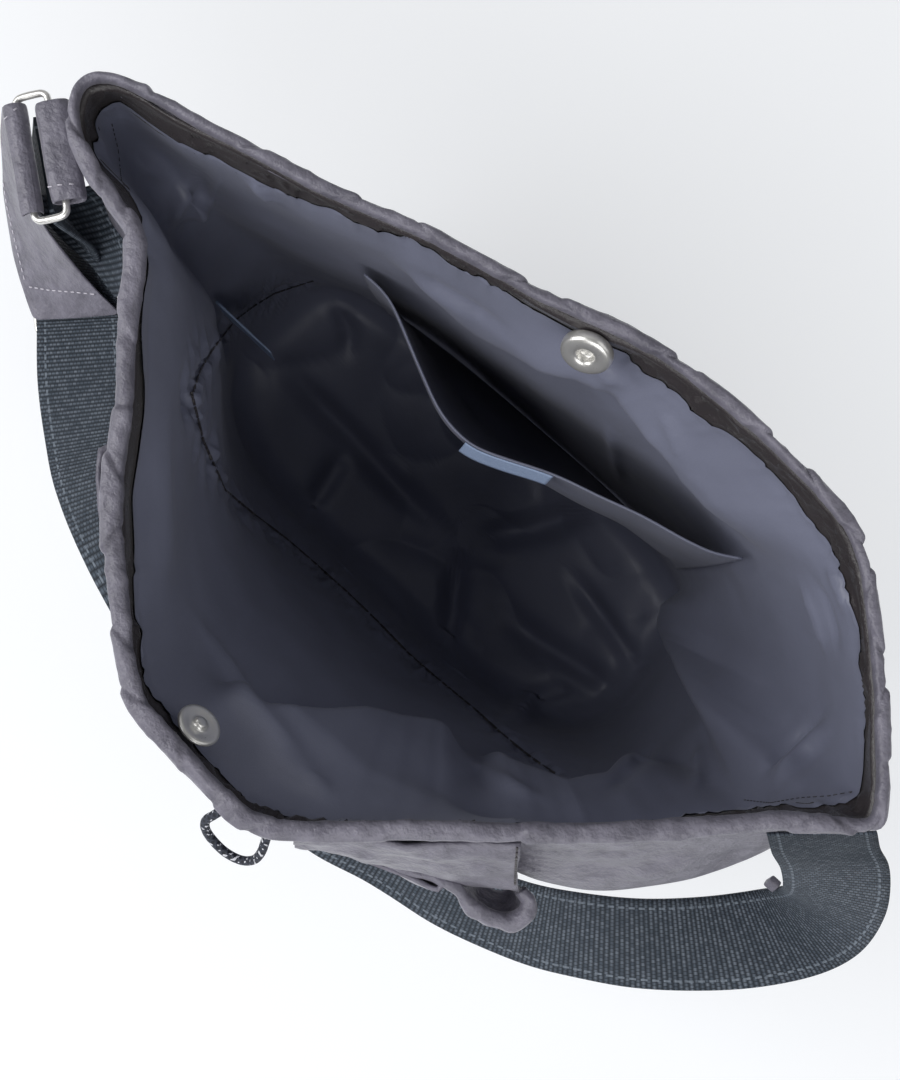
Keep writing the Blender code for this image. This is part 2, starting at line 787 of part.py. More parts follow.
def make_strap_keeper():
    """The small folded nylon tab on the strap's inner edge, at the crease."""
    centre, edge, run, _ = strap_frame(CREASE_ROW)
    bm = bmesh.new()
    bmesh.ops.create_cube(bm, size=1.0)
    bmesh.ops.scale(bm, vec=Vector((0.8, 1.2, 0.55)) * KEEPER_SIZE, verts=bm.verts)
    bmesh.ops.bevel(
        bm,
        geom=bm.edges,
        offset=KEEPER_SIZE * 0.15,
        segments=2,
        profile=0.5,
        affect="EDGES",
        material=-1,
    )
    place = centre - edge * (STRAP_WIDTH / 2 + KEEPER_SIZE * 0.4 + SEAM_GAP)
    turn = Matrix((edge, run, edge.cross(run).normalized())).transposed().to_4x4()
    bmesh.ops.transform(bm, matrix=Matrix.Translation(place) @ turn, verts=bm.verts)
    return add_mesh("strap_keeper", bm, "outer_nylon")


def facing_seat(x, front):
    """A point on the facing's inner side at an x, and the way that the side looks."""
    upper = inset(facing_ring(0.0), LINING_WALL)
    lower = inset(facing_ring(1.0), LINING_WALL)
    seam = RIGHT_SEAM_STATION * SAMPLES_PER_STATION
    picks = range(seam, len(upper)) if front else range(seam)
    i = min(picks, key=lambda k: abs(upper[k].x - x))
    fall = lower[i] - upper[i]
    along = (upper[(i + 1) % len(upper)] - upper[i - 1]).normalized()
    look = along.cross(fall).normalized()
    if look.z < 0:
        look = -look
    return upper[i].lerp(lower[i], SNAP_SEAT), look


def turned(name, profile, centre, axis, material, segments=20):
    """A closed turned piece whose profile lists radius and height along its axis."""
    bm = bmesh.new()
    verts = [bm.verts.new((radius, 0, height)) for radius, height in profile]
    edges = [bm.edges.new(pair) for pair in zip(verts, verts[1:])]
    bmesh.ops.spin(
        bm,
        geom=verts + edges,
        axis=(0, 0, 1),
        cent=(0, 0, 0),
        angle=2 * math.pi,
        steps=segments,
        use_merge=True,
    )
    bmesh.ops.remove_doubles(bm, verts=bm.verts, dist=1e-5)
    turn = axis.to_track_quat("Z", "Y").to_matrix().to_4x4()
    bmesh.ops.transform(bm, matrix=Matrix.Translation(centre) @ turn, verts=bm.verts)
    return add_mesh(name, bm, material)


def make_snap_socket():
    seat, look = facing_seat(0.005, front=False)
    rim = SOCKET_THICKNESS
    profile = (
        (0, 0),
        (SNAP_RADIUS * 0.93, 0),
        (SNAP_RADIUS, rim * 0.2),
        (SNAP_RADIUS * 0.97, rim * 0.8),
        (SNAP_RADIUS * 0.82, rim),
        (SNAP_HOLE * 1.4, rim),
        (SNAP_HOLE, rim * 0.8),
        (SNAP_HOLE, rim * 0.3),
        (0, rim * 0.3),
    )
    return turned("snap_socket", profile, seat + look * 2 * SEAM_GAP, look, "satin_nickel")


def make_snap_stud():
    seat, look = facing_seat(-0.005, front=True)
    flange = STUD_THICKNESS
    profile = (
        (0, 0),
        (SNAP_RADIUS * 0.95, 0),
        (SNAP_RADIUS, flange * 0.4),
        (SNAP_RADIUS * 0.9, flange),
        (SNAP_RADIUS * 0.5, flange * 0.7),
        (SNAP_HOLE * 0.95, flange * 0.7),
        (SNAP_HOLE * 0.9, STUD_PLUG),
        (0, STUD_PLUG),
    )
    return turned("snap_stud", profile, seat + look * 2 * SEAM_GAP, look, "satin_nickel")


def make_drawstring():
    points = open_curve([Vector(point) for point in CORD_ROUTE], 2)
    return add_wire("drawstring", points, CORD_DIAMETER, "cord_braid", cyclic=False)


def main():
    for old in list(bpy.data.objects):
        bpy.data.objects.remove(old)
    make_outer_body()
    make_rim_hem()
    make_mouth_facing()
    make_lining()
    make_inner_pocket()
    make_pocket_label()
    make_inner_tag()
    make_front_pocket()
    make_side_tab()
    make_ring()
    make_strap_end_cover()
    make_strap()
    make_slide_adjuster()
    make_strap_keeper()
    make_snap_socket()
    make_snap_stud()
    make_drawstring()


main()
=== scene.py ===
# %% [markdown]
# # A soft shoulder bag, seen from above
#
# The bag stands open on a pale floor: padded nylon outside, dark satin round the mouth,
# slate-blue lining inside, a webbing strap that hangs in front, and a cord loop.
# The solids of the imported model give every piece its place. This lesson dresses them:
# it lays fine cloth over each solid, presses folds into it and gives it its finish.

# %% Load the frame
import math

import bmesh
import bpy
from mathutils import Matrix, Vector, noise
from mathutils.bvhtree import BVHTree
from mathutils.kdtree import KDTree
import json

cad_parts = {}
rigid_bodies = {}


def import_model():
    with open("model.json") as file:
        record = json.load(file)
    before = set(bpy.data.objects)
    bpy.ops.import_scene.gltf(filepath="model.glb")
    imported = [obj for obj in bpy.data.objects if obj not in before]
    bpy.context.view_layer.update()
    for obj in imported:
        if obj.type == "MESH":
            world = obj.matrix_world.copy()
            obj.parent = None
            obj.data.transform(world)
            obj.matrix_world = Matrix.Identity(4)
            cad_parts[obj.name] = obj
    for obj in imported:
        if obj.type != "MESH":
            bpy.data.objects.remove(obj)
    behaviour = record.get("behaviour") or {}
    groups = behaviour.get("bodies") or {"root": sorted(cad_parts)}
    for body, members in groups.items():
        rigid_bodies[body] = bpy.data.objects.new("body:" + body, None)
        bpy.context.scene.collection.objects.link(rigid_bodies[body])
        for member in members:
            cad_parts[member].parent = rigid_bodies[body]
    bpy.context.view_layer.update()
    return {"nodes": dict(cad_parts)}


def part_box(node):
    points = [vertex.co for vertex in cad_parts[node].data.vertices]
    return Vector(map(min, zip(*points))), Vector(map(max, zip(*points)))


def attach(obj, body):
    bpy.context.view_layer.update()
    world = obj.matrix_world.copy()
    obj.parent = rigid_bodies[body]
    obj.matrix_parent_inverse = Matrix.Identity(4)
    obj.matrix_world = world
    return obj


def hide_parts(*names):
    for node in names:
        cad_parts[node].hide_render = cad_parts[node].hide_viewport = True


for old in list(bpy.data.objects):
    bpy.data.objects.remove(old)
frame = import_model()
print("solids:", len(frame["nodes"]))

# %% [markdown]
# ## The camera
#
# The photograph looks almost straight down into the mouth, from half a metre above it.
# The bag's long side runs across the frame at a slant, so the camera is also rolled.
# Its three axes are written out, because a rolled view has no simple pair of angles.

# %% Camera
FRAME_WIDTH, FRAME_HEIGHT = 900, 1080
SENSOR = 36.0
LENS = 50.0
EYE = Vector((0.014, -0.052, 0.780))
AIM = Vector((0.0127, -0.0283, 0.280))
ACROSS = Vector((0.732, 0.682, 0.0))

back = (EYE - AIM).normalized()
up = back.cross(ACROSS).normalized()
across = up.cross(back).normalized()
camera_data = bpy.data.cameras.new("camera")
camera_data.lens = LENS
camera_data.sensor_width = SENSOR
camera = bpy.data.objects.new("camera", camera_data)
bpy.context.collection.objects.link(camera)
turn = Matrix((across, up, back)).transposed().to_4x4()
camera.matrix_world = Matrix.Translation(EYE) @ turn
bpy.context.scene.camera = camera
PIXELS_PER_SLOPE = LENS / SENSOR * FRAME_HEIGHT


def sight(column, row):
    """The direction from the eye through a place of the 900 by 1080 photograph."""
    right = (column - FRAME_WIDTH / 2) / PIXELS_PER_SLOPE
    rise = (FRAME_HEIGHT / 2 - row) / PIXELS_PER_SLOPE
    return (across * right + up * rise - back).normalized()


print("camera looks down by", round(math.degrees(math.acos(back.z)), 1), "degrees off plumb")

# %% [markdown]
# ## Reading the solids
#
# Each cloth piece has to lie where its solid lies. A ray from the bag's upright axis,
# at a height and an angle, meets a wall at one place, so a wall can be read as rows of
# points. Rays from the camera do the same for what the photograph shows: a fold that
# is seen at some place in the picture is found on the wall behind that place.


# %% Rays and lines
def tree_of(node):
    """A solid's surface, ready for rays."""
    bm = bmesh.new()
    bm.from_mesh(frame["nodes"][node].data)
    tree = BVHTree.FromBMesh(bm)
    bm.free()
    return tree


def from_axis(tree, angle, height, outer=False):
    """Where a level ray at an angle meets a wall's inner or outer side."""
    way = Vector((math.cos(angle), math.sin(angle), 0))
    foot = Vector((0, 0, height))
    if outer:
        return tree.ray_cast(foot + way * 0.5, -way)[0]
    return tree.ray_cast(foot, way)[0]


def spaced(points, count):
    """Points at even steps along a line."""
    lengths = [0.0]
    for a, b in zip(points, points[1:]):
        lengths.append(lengths[-1] + (b - a).length)
    even = []
    at = 0
    for step in range(count):
        want = lengths[-1] * step / (count - 1)
        while at < len(points) - 2 and lengths[at + 1] < want:
            at += 1
        span = max(lengths[at + 1] - lengths[at], 1e-9)
        even.append(points[at].lerp(points[at + 1], (want - lengths[at]) / span))
    return even


def seen(tree, *spots, step=3.0):
    """The line on a surface that the photograph shows between spots, as 3-D points."""
    found = []
    for (x1, y1), (x2, y2) in zip(spots, spots[1:]):
        count = max(int(math.hypot(x2 - x1, y2 - y1) / step), 1)
        for i in range(count):
            share = i / count
            spot = (x1 + (x2 - x1) * share, y1 + (y2 - y1) * share)
            place = tree.ray_cast(EYE, sight(*spot))[0]
            if place:
                found.append(place)
    return found


HEM_TREE = tree_of("rim_hem")
HEM_LOW, HEM_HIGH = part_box("rim_hem")
HEM_MIDDLE = (HEM_LOW.z + HEM_HIGH.z) / 2
COLUMNS = 361


def rim_angles(count):
    """Angles of columns, a full turn at even steps along the rim."""
    dense = []
    for i in range(2881):
        angle = -math.pi / 2 + 2 * math.pi * i / 2880
        dense.append(from_axis(HEM_TREE, angle, HEM_MIDDLE, outer=True))
    even = spaced(dense, count)
    angles = [math.atan2(p.y, p.x) for p in even]
    for i in range(1, count):
        while angles[i] < angles[i - 1] - 1e-6:
            angles[i] += 2 * math.pi
    angles[-1] = angles[0] + 2 * math.pi
    return angles


ANGLES = rim_angles(COLUMNS)
FINE_ANGLES = rim_angles(541)
print("columns round the rim:", COLUMNS - 1)

# %% [markdown]
# ## From rows of points to cloth
#
# Blender's grid operator makes a flat cloth, and each of its points is then moved to its
# place in the rows. A cloth that closes on itself has its first and last columns in the
# same place, so merging doubles sews them. Its map keeps the flat cloth's own widths.


# %% Cloth grids
def loft(rows, size=(1.0, 1.0)):
    """A cloth through rows of points, with a map in metres of its flat size."""
    wide, long = len(rows[0]), len(rows)
    bm = bmesh.new()
    bmesh.ops.create_grid(bm, x_segments=wide - 1, y_segments=long - 1, size=0.5)
    layer = bm.loops.layers.uv.new("UVMap")
    for face in bm.faces:
        for loop in face.loops:
            u, v = loop.vert.co.x + 0.5, loop.vert.co.y + 0.5
            loop[layer].uv = (u * size[0], v * size[1])
    for vert in bm.verts:
        column = round((vert.co.x + 0.5) * (wide - 1))
        row = round((vert.co.y + 0.5) * (long - 1))
        vert.co = rows[row][column]
    bmesh.ops.remove_doubles(bm, verts=bm.verts, dist=1e-6)
    return bm


def near_lines(points):
    """A finder for the distance to a line that is given by close points."""
    tree = KDTree(len(points))
    for i, point in enumerate(points):
        tree.insert(point, i)
    tree.balance()
    return tree


def rising(vert):
    """The way a point is raised: along its normal, and straight up on a flat bottom."""
    return Vector((0, 0, 1)) if vert.normal.z > 0.8 else vert.normal.copy()


def press(bm, points, width, depth, sharp=False, only=None):
    """Raises the cloth along a line by a depth, or sinks it where that is negative."""
    if not points:
        return
    tree = near_lines(points)
    bm.normal_update()
    moves = []
    for vert in bm.verts:
        _, index, far = tree.find(vert.co)
        if far > 3.2 * width or (only and not only(vert.co)):
            continue
        ends = min(index, len(points) - 1 - index) / max(len(points) * 0.30, 1)
        fade = 1.0 if sharp else min(ends, 1.0) ** 1.5
        share = math.exp(-1.6 * far / width) if sharp else math.exp(-((far / width) ** 2))
        moves.append((vert, rising(vert) * depth * share * fade))
    for vert, move in moves:
        vert.co += move


def crumple(bm, scale, depth, seed=0.0, stretch=(1, 1, 1), weigh=None):
    """Soft uneven waves over the whole cloth, along its normals."""
    bm.normal_update()
    moves = []
    for vert in bm.verts:
        spot = Vector((vert.co.x * stretch[0], vert.co.y * stretch[1], vert.co.z * stretch[2]))
        wave = noise.noise(spot * scale + Vector((seed, seed * 1.7, seed * 0.6)))
        wave *= depth * (weigh(vert.co) if weigh else 1.0)
        moves.append(rising(vert) * wave)
    for vert, move in zip(bm.verts, moves):
        vert.co += move


def relax(bm, times, factor=0.5, fixed=None):
    """Rounds off the solid's flat facets."""
    loose = [v for v in bm.verts if not v.is_boundary and not (fixed and fixed(v.co))]
    for _ in range(times):
        bmesh.ops.smooth_vert(
            bm,
            verts=loose,
            factor=factor,
            use_axis_x=True,
            use_axis_y=True,
            use_axis_z=True,
        )


PIECES = {}
SURFACES = {}


def place(name, bm, slot, nodes=(), wall=0.0, offset=-1.0):
    """Makes a finished piece: smooth, riding on the bag, standing for its solids."""
    SURFACES[name] = BVHTree.FromBMesh(bm)
    mesh = bpy.data.meshes.new(name)
    bm.to_mesh(mesh)
    bm.free()
    mesh.shade_smooth()
    piece = bpy.data.objects.new(name, mesh)
    bpy.context.collection.objects.link(piece)
    if wall:
        solid = piece.modifiers.new("wall", "SOLIDIFY")
        solid.thickness = wall
        solid.offset = offset
    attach(piece, "root")
    if nodes:
        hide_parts(*nodes)
    PIECES[name] = piece
    area = sum(polygon.area for polygon in mesh.polygons)
    print(name, len(mesh.polygons), "faces", round(area, 4), "m2")
    return piece


# %% [markdown]
# ## The cord
#
# The front pocket closes with a thin braided cord, and only its loop shows. A cord keeps
# its length, so it comes first, as a tube along the same route as its solid. A smooth
# curve through the route's points gives the line, and a ring of eight points is carried
# along it. The map runs along the cord, for the braid's flecks.

# %% Drawstring
CORD_DIAMETER = 0.0035
CORD_ROUTE = (
    (0.0195, -0.1489, 0.2260),
    (0.0192, -0.1530, 0.2264),
    (0.0180, -0.1580, 0.2258),
    (0.0171, -0.1622, 0.2232),
    (0.0193, -0.1655, 0.2190),
    (0.0245, -0.1675, 0.2150),
    (0.0310, -0.1680, 0.2125),
    (0.0370, -0.1662, 0.2125),
    (0.0402, -0.1625, 0.2150),
    (0.0402, -0.1580, 0.2195),
    (0.0385, -0.1535, 0.2230),
    (0.0370, -0.1500, 0.2248),
    (0.0362, -0.1457, 0.2254),
)


def smooth_line(points, per_span):
    """A smooth open curve through points."""
    ends = [points[0] * 2 - points[1], *points, points[-1] * 2 - points[-2]]
    line = []
    for i in range(len(points) - 1):
        before, start, end, after = ends[i : i + 4]
        a, b = (end - before) * 0.5, (after - start) * 0.5
        for step in range(per_span):
            s = step / per_span
            line.append(
                start * (2 * s**3 - 3 * s**2 + 1)
                + a * (s**3 - 2 * s**2 + s)
                + end * (3 * s**2 - 2 * s**3)
                + b * (s**3 - s**2)
            )
    return line + [points[-1]]


def tube_rows(line, radius, sides):
    """Rings round a line, as rows of points whose last repeats the first."""
    side = Vector((0, 0, 1)).cross(line[1] - line[0]).normalized()
    rows = []
    for i, point in enumerate(line):
        along = (line[min(i + 1, len(line) - 1)] - line[max(i - 1, 0)]).normalized()
        side = (side - along * side.dot(along)).normalized()
        other = along.cross(side)
        row = []
        for k in range(sides + 1):
            angle = 2 * math.pi * k / sides
            row.append(point + (side * math.cos(angle) + other * math.sin(angle)) * radius)
        rows.append(row)
    return rows


cord_line = smooth_line([Vector(p) for p in CORD_ROUTE], 6)
cord_length = sum((b - a).length for a, b in zip(cord_line, cord_line[1:]))
cord_bm = loft(tube_rows(cord_line, CORD_DIAMETER / 2, 14), (CORD_DIAMETER * math.pi, cord_length))
bmesh.ops.holes_fill(cord_bm, edges=[e for e in cord_bm.edges if e.is_boundary], sides=0)
bmesh.ops.recalc_face_normals(cord_bm, faces=cord_bm.faces)
cord = place("cord_loop", cord_bm, "cord_braid", ["drawstring"])
print("cord shows", round(cord_length * 1000), "mm")

# %% [markdown]
# ## The outer body
#
# The shell is padded nylon, sewn from panels, and it slouches a little. Its rows are read
# from the solid's outer side. Smoothing rounds the facets, two soft waves make the
# padding uneven, and the seams down the front panel are pressed in.

# %% Outer body
SHELL_TREE = tree_of("outer_body")
SHELL_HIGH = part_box("outer_body")[1]
SHELL_ROWS = 84
BASE_RINGS = 12


def wall_rows(tree, heights, outer, angles=None):
    """Rows of a wall at some heights, skipping none."""
    rows = []
    for height in heights:
        row = [from_axis(tree, angle, height, outer) for angle in angles or ANGLES]
        last = next(p for p in row if p)
        for i, point in enumerate(row):
            row[i] = last = point or last
        row[-1] = row[0]
        rows.append(row)
    return rows


def falling(top, bottom, count):
    """Heights at even steps from top down to bottom."""
    return [top + (bottom - top) * i / (count - 1) for i in range(count)]


shell_heights = falling(SHELL_HIGH.z - 0.0004, 0.0006, SHELL_ROWS)
shell_rows = wall_rows(SHELL_TREE, shell_heights, outer=True)
lowest = [Vector((p.x, p.y, 0.0)) for p in shell_rows[-1]]
for ring in range(BASE_RINGS):
    share = 0.985 - 0.93 * ring / (BASE_RINGS - 1)
    shell_rows.append([Vector((p.x * share, p.y * share, 0.0)) for p in lowest])
shell_bm = loft(shell_rows[::-1], (0.93, 0.34))
bmesh.ops.holes_fill(
    shell_bm,
    edges=[e for e in shell_bm.edges if e.is_boundary and e.verts[0].co.z < 0.001],
    sides=0,
)
relax(shell_bm, 10, fixed=lambda co: co.z < 0.003)


def above_base(co):
    return min(max((co.z - 0.004) / 0.03, 0.0), 1.0)


crumple(shell_bm, 14.0, 0.0030, seed=3.1, weigh=above_base)
crumple(shell_bm, 42.0, 0.0012, seed=8.4, weigh=above_base)
shell_tree = BVHTree.FromBMesh(shell_bm)
press(shell_bm, seen(shell_tree, (522, 838), (519, 862), (517, 888)), 0.0018, -0.0016, sharp=True)
for spots, reach, depth in (
    (((620, 878), (665, 868), (705, 850)), 0.006, 0.0030),
    (((560, 862), (610, 872), (640, 862)), 0.006, -0.0022),
    (((700, 880), (730, 862), (752, 842)), 0.005, -0.0024),
):
    press(shell_bm, seen(shell_tree, *spots), reach, depth)
ridge_left = seen(shell_tree, (330, 845), (380, 846), (430, 847), (480, 847), (514, 847))
ridge_right = seen(shell_tree, (527, 851), (580, 853), (640, 853), (700, 848), (755, 840))
for line in (ridge_left, ridge_right):
    press(shell_bm, line, 0.0014, -0.0011, sharp=True)
    press(shell_bm, [p + Vector((0, 0, -0.004)) for p in line], 0.0022, 0.0010)
body = place("padded_shell", shell_bm, "outer_nylon", ["outer_body"], wall=0.0018)

# %% [markdown]
# ## The rim
#
# The rim is a hem turned over padding: a roll that puckers where its stitches pull, with
# a few sharp creases where the cloth folds over at a bend. A ring is carried round the
# mouth, flatter than it is wide, and its size follows a few waves of noise.

# %% Rim
RIM_WIDE, RIM_HIGH = 0.0035, 0.0031
RIM_SIDES = 24
RIM_STEPS = 960
RIM_CREASES = (
    # column and row in the photograph, step of the cloth there in metres, slant
    (80, 130, 0.0015, 1),
    (104, 180, -0.0010, -1),
    (125, 225, 0.0014, -1),
    (140, 330, -0.0007, 1),
    (118, 405, 0.0010, 0),
    (112, 465, 0.0013, 1),
    (108, 540, -0.0014, -1),
    (112, 640, 0.0009, 1),
    (128, 700, 0.0012, 1),
    (165, 770, -0.0008, -1),
    (215, 800, 0.0010, 0),
    (262, 828, -0.0012, 1),
    (145, 108, 0.0010, 0),
    (250, 150, -0.0006, 1),
    (350, 195, 0.0009, 1),
    (430, 230, -0.0008, -1),
    (520, 268, 0.0012, 1),
    (575, 300, -0.0008, -1),
    (672, 345, 0.0017, 1),
    (700, 365, -0.0009, 0),
    (765, 425, 0.0014, 1),
    (820, 475, -0.0010, -1),
    (862, 530, 0.0018, 1),
    (874, 580, -0.0013, -1),
    (884, 640, 0.0010, 1),
    (887, 700, -0.0016, -1),
    (886, 760, 0.0010, 0),
    (880, 815, 0.0014, 1),
    (845, 818, -0.0012, -1),
    (800, 822, 0.0010, 1),
    (700, 832, -0.0006, 1),
    (522, 835, 0.0012, 0),
    (400, 833, -0.0005, 1),
)


def at_height(column, row, height):
    """Where the sight line through a place of the photograph is at a height."""
    way = sight(column, row)
    return EYE + way * ((EYE.z - height) / -way.z)


def rim_line():
    """The roll's middle line, half-way between the solid's two sides."""
    line = []
    for i in range(1441):
        angle = -math.pi / 2 + 2 * math.pi * i / 1440
        inner = from_axis(HEM_TREE, angle, HEM_MIDDLE)
        line.append((inner + from_axis(HEM_TREE, angle, HEM_MIDDLE, outer=True)) / 2)
    line = spaced(line, RIM_STEPS + 1)[:-1]
    for _ in range(5):
        line = [(line[i - 1] + line[(i + 1) % len(line)] + p * 2) / 4 for i, p in enumerate(line)]
    return line


RIM_LINE = rim_line()
RIM_STEP = sum((b - a).length for a, b in zip(RIM_LINE, RIM_LINE[1:])) / (RIM_STEPS - 1)
rim_spots = near_lines(RIM_LINE)
creases = []
for column, row_, size, slant in RIM_CREASES:
    index = rim_spots.find(at_height(column, row_, HEM_MIDDLE))[1]
    creases.append((index, size, slant))


def crease_step(index, lift):
    """How far the cloth steps sideways at a ring, and how deep it is pinched there."""
    step, pinch = 0.0, 0.0
    for at, size, slant in creases:
        gap = (index - at + RIM_STEPS / 2) % RIM_STEPS - RIM_STEPS / 2
        gap = gap * RIM_STEP + slant * lift * 0.0045
        if abs(gap) < 0.06:
            step += size * math.tanh(gap / 0.0010) * math.exp(-abs(gap) / 0.012)
            pinch += abs(size) * math.exp(-((gap / 0.0011) ** 2))
    return step, pinch


rim_tip = at_height(80, 95, HEM_MIDDLE)
rim_rows = []
for i, middle in enumerate(RIM_LINE):
    along = (RIM_LINE[(i + 1) % RIM_STEPS] - RIM_LINE[i - 1]).normalized()
    out = Vector((along.y, -along.x, 0))
    twist = 0.6 * noise.noise(middle * 32)
    narrow = 0.42 * math.exp(-(((middle - rim_tip).length / 0.030) ** 2))
    behind = min(max((middle.y + 0.020) / 0.030, 0.0), 1.0)
    full = 1.0 - 0.34 * behind - 0.6 * narrow
    row = []
    for k in range(RIM_SIDES + 1):
        angle = 2 * math.pi * k / RIM_SIDES
        level, rise = math.cos(angle + twist), math.sin(angle + twist)
        level = math.copysign(abs(level) ** 0.85, level)
        rise = math.copysign(abs(rise) ** 0.85, rise)
        long_fold = noise.noise(middle * 34 + Vector((level, rise, 0)) * 0.9)
        where = middle + out * level * 0.004 + Vector((0, 0, rise * 0.004))
        ridge = (1 - abs(noise.noise(where * 85))) ** 5
        swell = 1 + 0.17 * long_fold + 0.05 * noise.noise(where * 230) + 0.12 * (ridge - 0.3)
        step, pinch = crease_step(i, level)
        swell -= 0.75 * pinch / RIM_WIDE * (0.5 + 0.5 * rise)
        side = out * ((level * full + 1 - full) * RIM_WIDE * swell + 0.35 * step * level + 0.0005)
        row.append(middle + side + Vector((0, 0, rise * RIM_HIGH * swell + 0.7 * step)))
    rim_rows.append(row)
rim_rows.append(rim_rows[0])
rim_bm = loft(rim_rows, (2 * math.pi * RIM_WIDE, 0.93))
bmesh.ops.recalc_face_normals(rim_bm, faces=rim_bm.faces)
rim = place("rim_roll", rim_bm, "outer_nylon", ["rim_hem"])
print("creases across the rim:", len(creases))

# %% [markdown]
# ## Facing and lining
#
# Inside the rim a band of dark satin faces the mouth, and the lining is sewn under it.
# Both are thin cloth that is longer than the seam which holds it, so they pucker. The
# lining also hangs in a few large folds. The photograph shows where each fold's edge
# runs, so rays from the camera find those lines on the wall, and the cloth is raised or
# sunk along them.

# %% Facing
FACING_TREE = tree_of("mouth_facing")
FACING_LOW, FACING_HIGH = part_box("mouth_facing")
LINING_TREE = tree_of("lining")
LINING_LOW, LINING_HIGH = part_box("lining")
EDGE_SPOTS = (
    # where the photograph shows the satin band end and the lining begin, once round
    (97, 110), (115, 118), (154, 121), (192, 134), (221, 146), (246, 163), (269, 180),
    (292, 194), (315, 203), (332, 208), (355, 224), (411, 249), (455, 271), (492, 293),
    (542, 315), (580, 340), (630, 365), (667, 396), (705, 428), (742, 453), (774, 484),
    (811, 515), (836, 540), (846, 565), (855, 596), (858, 628), (861, 655), (861, 681),
    (860, 707), (858, 728), (860, 750), (862, 770), (858, 786), (830, 798), (800, 800),
    (776, 800), (749, 805), (728, 810), (702, 812), (676, 813), (655, 818), (634, 824),
    (600, 826), (544, 822), (517, 817), (480, 820), (380, 821), (290, 821), (268, 818),
    (253, 803), (230, 784), (212, 761), (196, 733), (180, 722), (165, 712), (158, 700),
    (151, 676), (146, 641), (141, 606), (139, 562), (137, 528), (136, 493), (138, 450),
    (141, 415), (141, 380), (145, 330), (148, 270), (143, 245), (137, 225), (127, 202),
    (113, 170), (104, 135),
)  # fmt: skip
EDGE_HEIGHT = (LINING_HIGH.z + FACING_LOW.z) / 2
edge_places = [at_height(x, y, EDGE_HEIGHT) for x, y in EDGE_SPOTS]
edge_ring = [(math.atan2(p.y, p.x), math.hypot(p.x, p.y)) for p in edge_places]
edge_ring.sort()
edge_ring = (
    [(edge_ring[-1][0] - 2 * math.pi, edge_ring[-1][1])]
    + edge_ring
    + [(edge_ring[0][0] + 2 * math.pi, edge_ring[0][1])]
)


def turned(angle, about):
    """An angle brought within half a turn of another."""
    return about + (angle - about + math.pi) % (2 * math.pi) - math.pi


def edge_radius(angle):
    """How far from the axis the band ends, at an angle."""
    angle = math.atan2(math.sin(angle), math.cos(angle))
    for (a, ra), (b, rb) in zip(edge_ring, edge_ring[1:]):
        if a <= angle <= b:
            return ra + (rb - ra) * (angle - a) / max(b - a, 1e-9)
    return edge_ring[0][1]


def kept_inside(point, clear):
    """A point brought this far inside the outer face of the shell and roll, if it isn't."""
    way = Vector((point.x, point.y, 0)).normalized()
    level = Vector((0, 0, point.z))
    hits = [SURFACES[n].ray_cast(way * 0.5 + level, -way)[0] for n in ("padded_shell", "rim_roll")]
    reaches = [hit.dot(way) - clear for hit in hits if hit is not None and hit.dot(way) > 0.04]
    if reaches and math.hypot(point.x, point.y) > max(reaches):
        return way * max(reaches) + level
    return point


def band_shift(angles):
    """How far the solids' band edge is moved outward at each angle."""
    ring = []
    for angle in angles[:-1]:
        solid_edge = from_axis(LINING_TREE, angle, LINING_HIGH.z - 0.0008)
        shift = edge_radius(angle) - math.hypot(solid_edge.x, solid_edge.y)
        ring.append(min(max(shift, -0.005), 0.013))
    for _ in range(2):
        ring = [(ring[i - 1] + s * 2 + ring[(i + 1) % len(ring)]) / 4 for i, s in enumerate(ring)]
    return ring + ring[:1]


edge_shift = band_shift(ANGLES)
fine_shift = band_shift(FINE_ANGLES)
print("band edge moved", round(min(edge_shift) * 1000, 1), "to", round(max(edge_shift) * 1000, 1))

facing_heights = falling(FACING_HIGH.z - 0.0002, FACING_LOW.z + 0.0002, 18)
facing_rows = wall_rows(FACING_TREE, facing_heights, outer=False, angles=FINE_ANGLES)
for r, row in enumerate(facing_rows):
    share = r / (len(facing_rows) - 1)
    for c, point in enumerate(row):
        out = Vector((point.x, point.y, 0)).normalized()
        spot = Vector((point.x * 75, point.y * 75, share * 1.1))
        fold = noise.noise(spot)
        sharp = 1 - abs(noise.noise(spot * 1.9 + Vector((7, 3, 1))))
        crease = 0.0040 * fold + 0.0034 * (sharp**5 - 0.4)
        weight = min(share * 3, 1.0) * (1 - 0.6 * share)
        row[c] = point + out * (fine_shift[c] * share**0.8 - crease * weight)
        row[c].z += 0.0012 * noise.noise(spot * 0.6) * share
        row[c] = kept_inside(row[c], 0.0028)
    row[-1] = row[0]
for lift, spread in ((0.0006, 0.0018), (0.0010, 0.0042)):
    top_row = []
    for point in facing_rows[1 if lift < 0.001 else 2]:
        out = Vector((point.x, point.y, 0)).normalized()
        top_row.append(Vector((point.x, point.y, FACING_HIGH.z + lift)) + out * spread)
    facing_rows.insert(0, top_row)
facing_bm = loft(facing_rows, (0.90, 0.02))
facing = place("satin_facing", facing_bm, "facing_satin", ["mouth_facing"], wall=0.0008)

# %% [markdown]
# The lining is one slate-blue satin tube with an oval bottom panel sewn in. On the real bag it
# is cut with some ease, so it falls away from the shell. It is lofted from the solid's inner
# face, tucked over the satin band where the photograph shows the cloth come right up to the
# roll, and closed with rings of the bottom panel so that one mesh holds wall and floor.

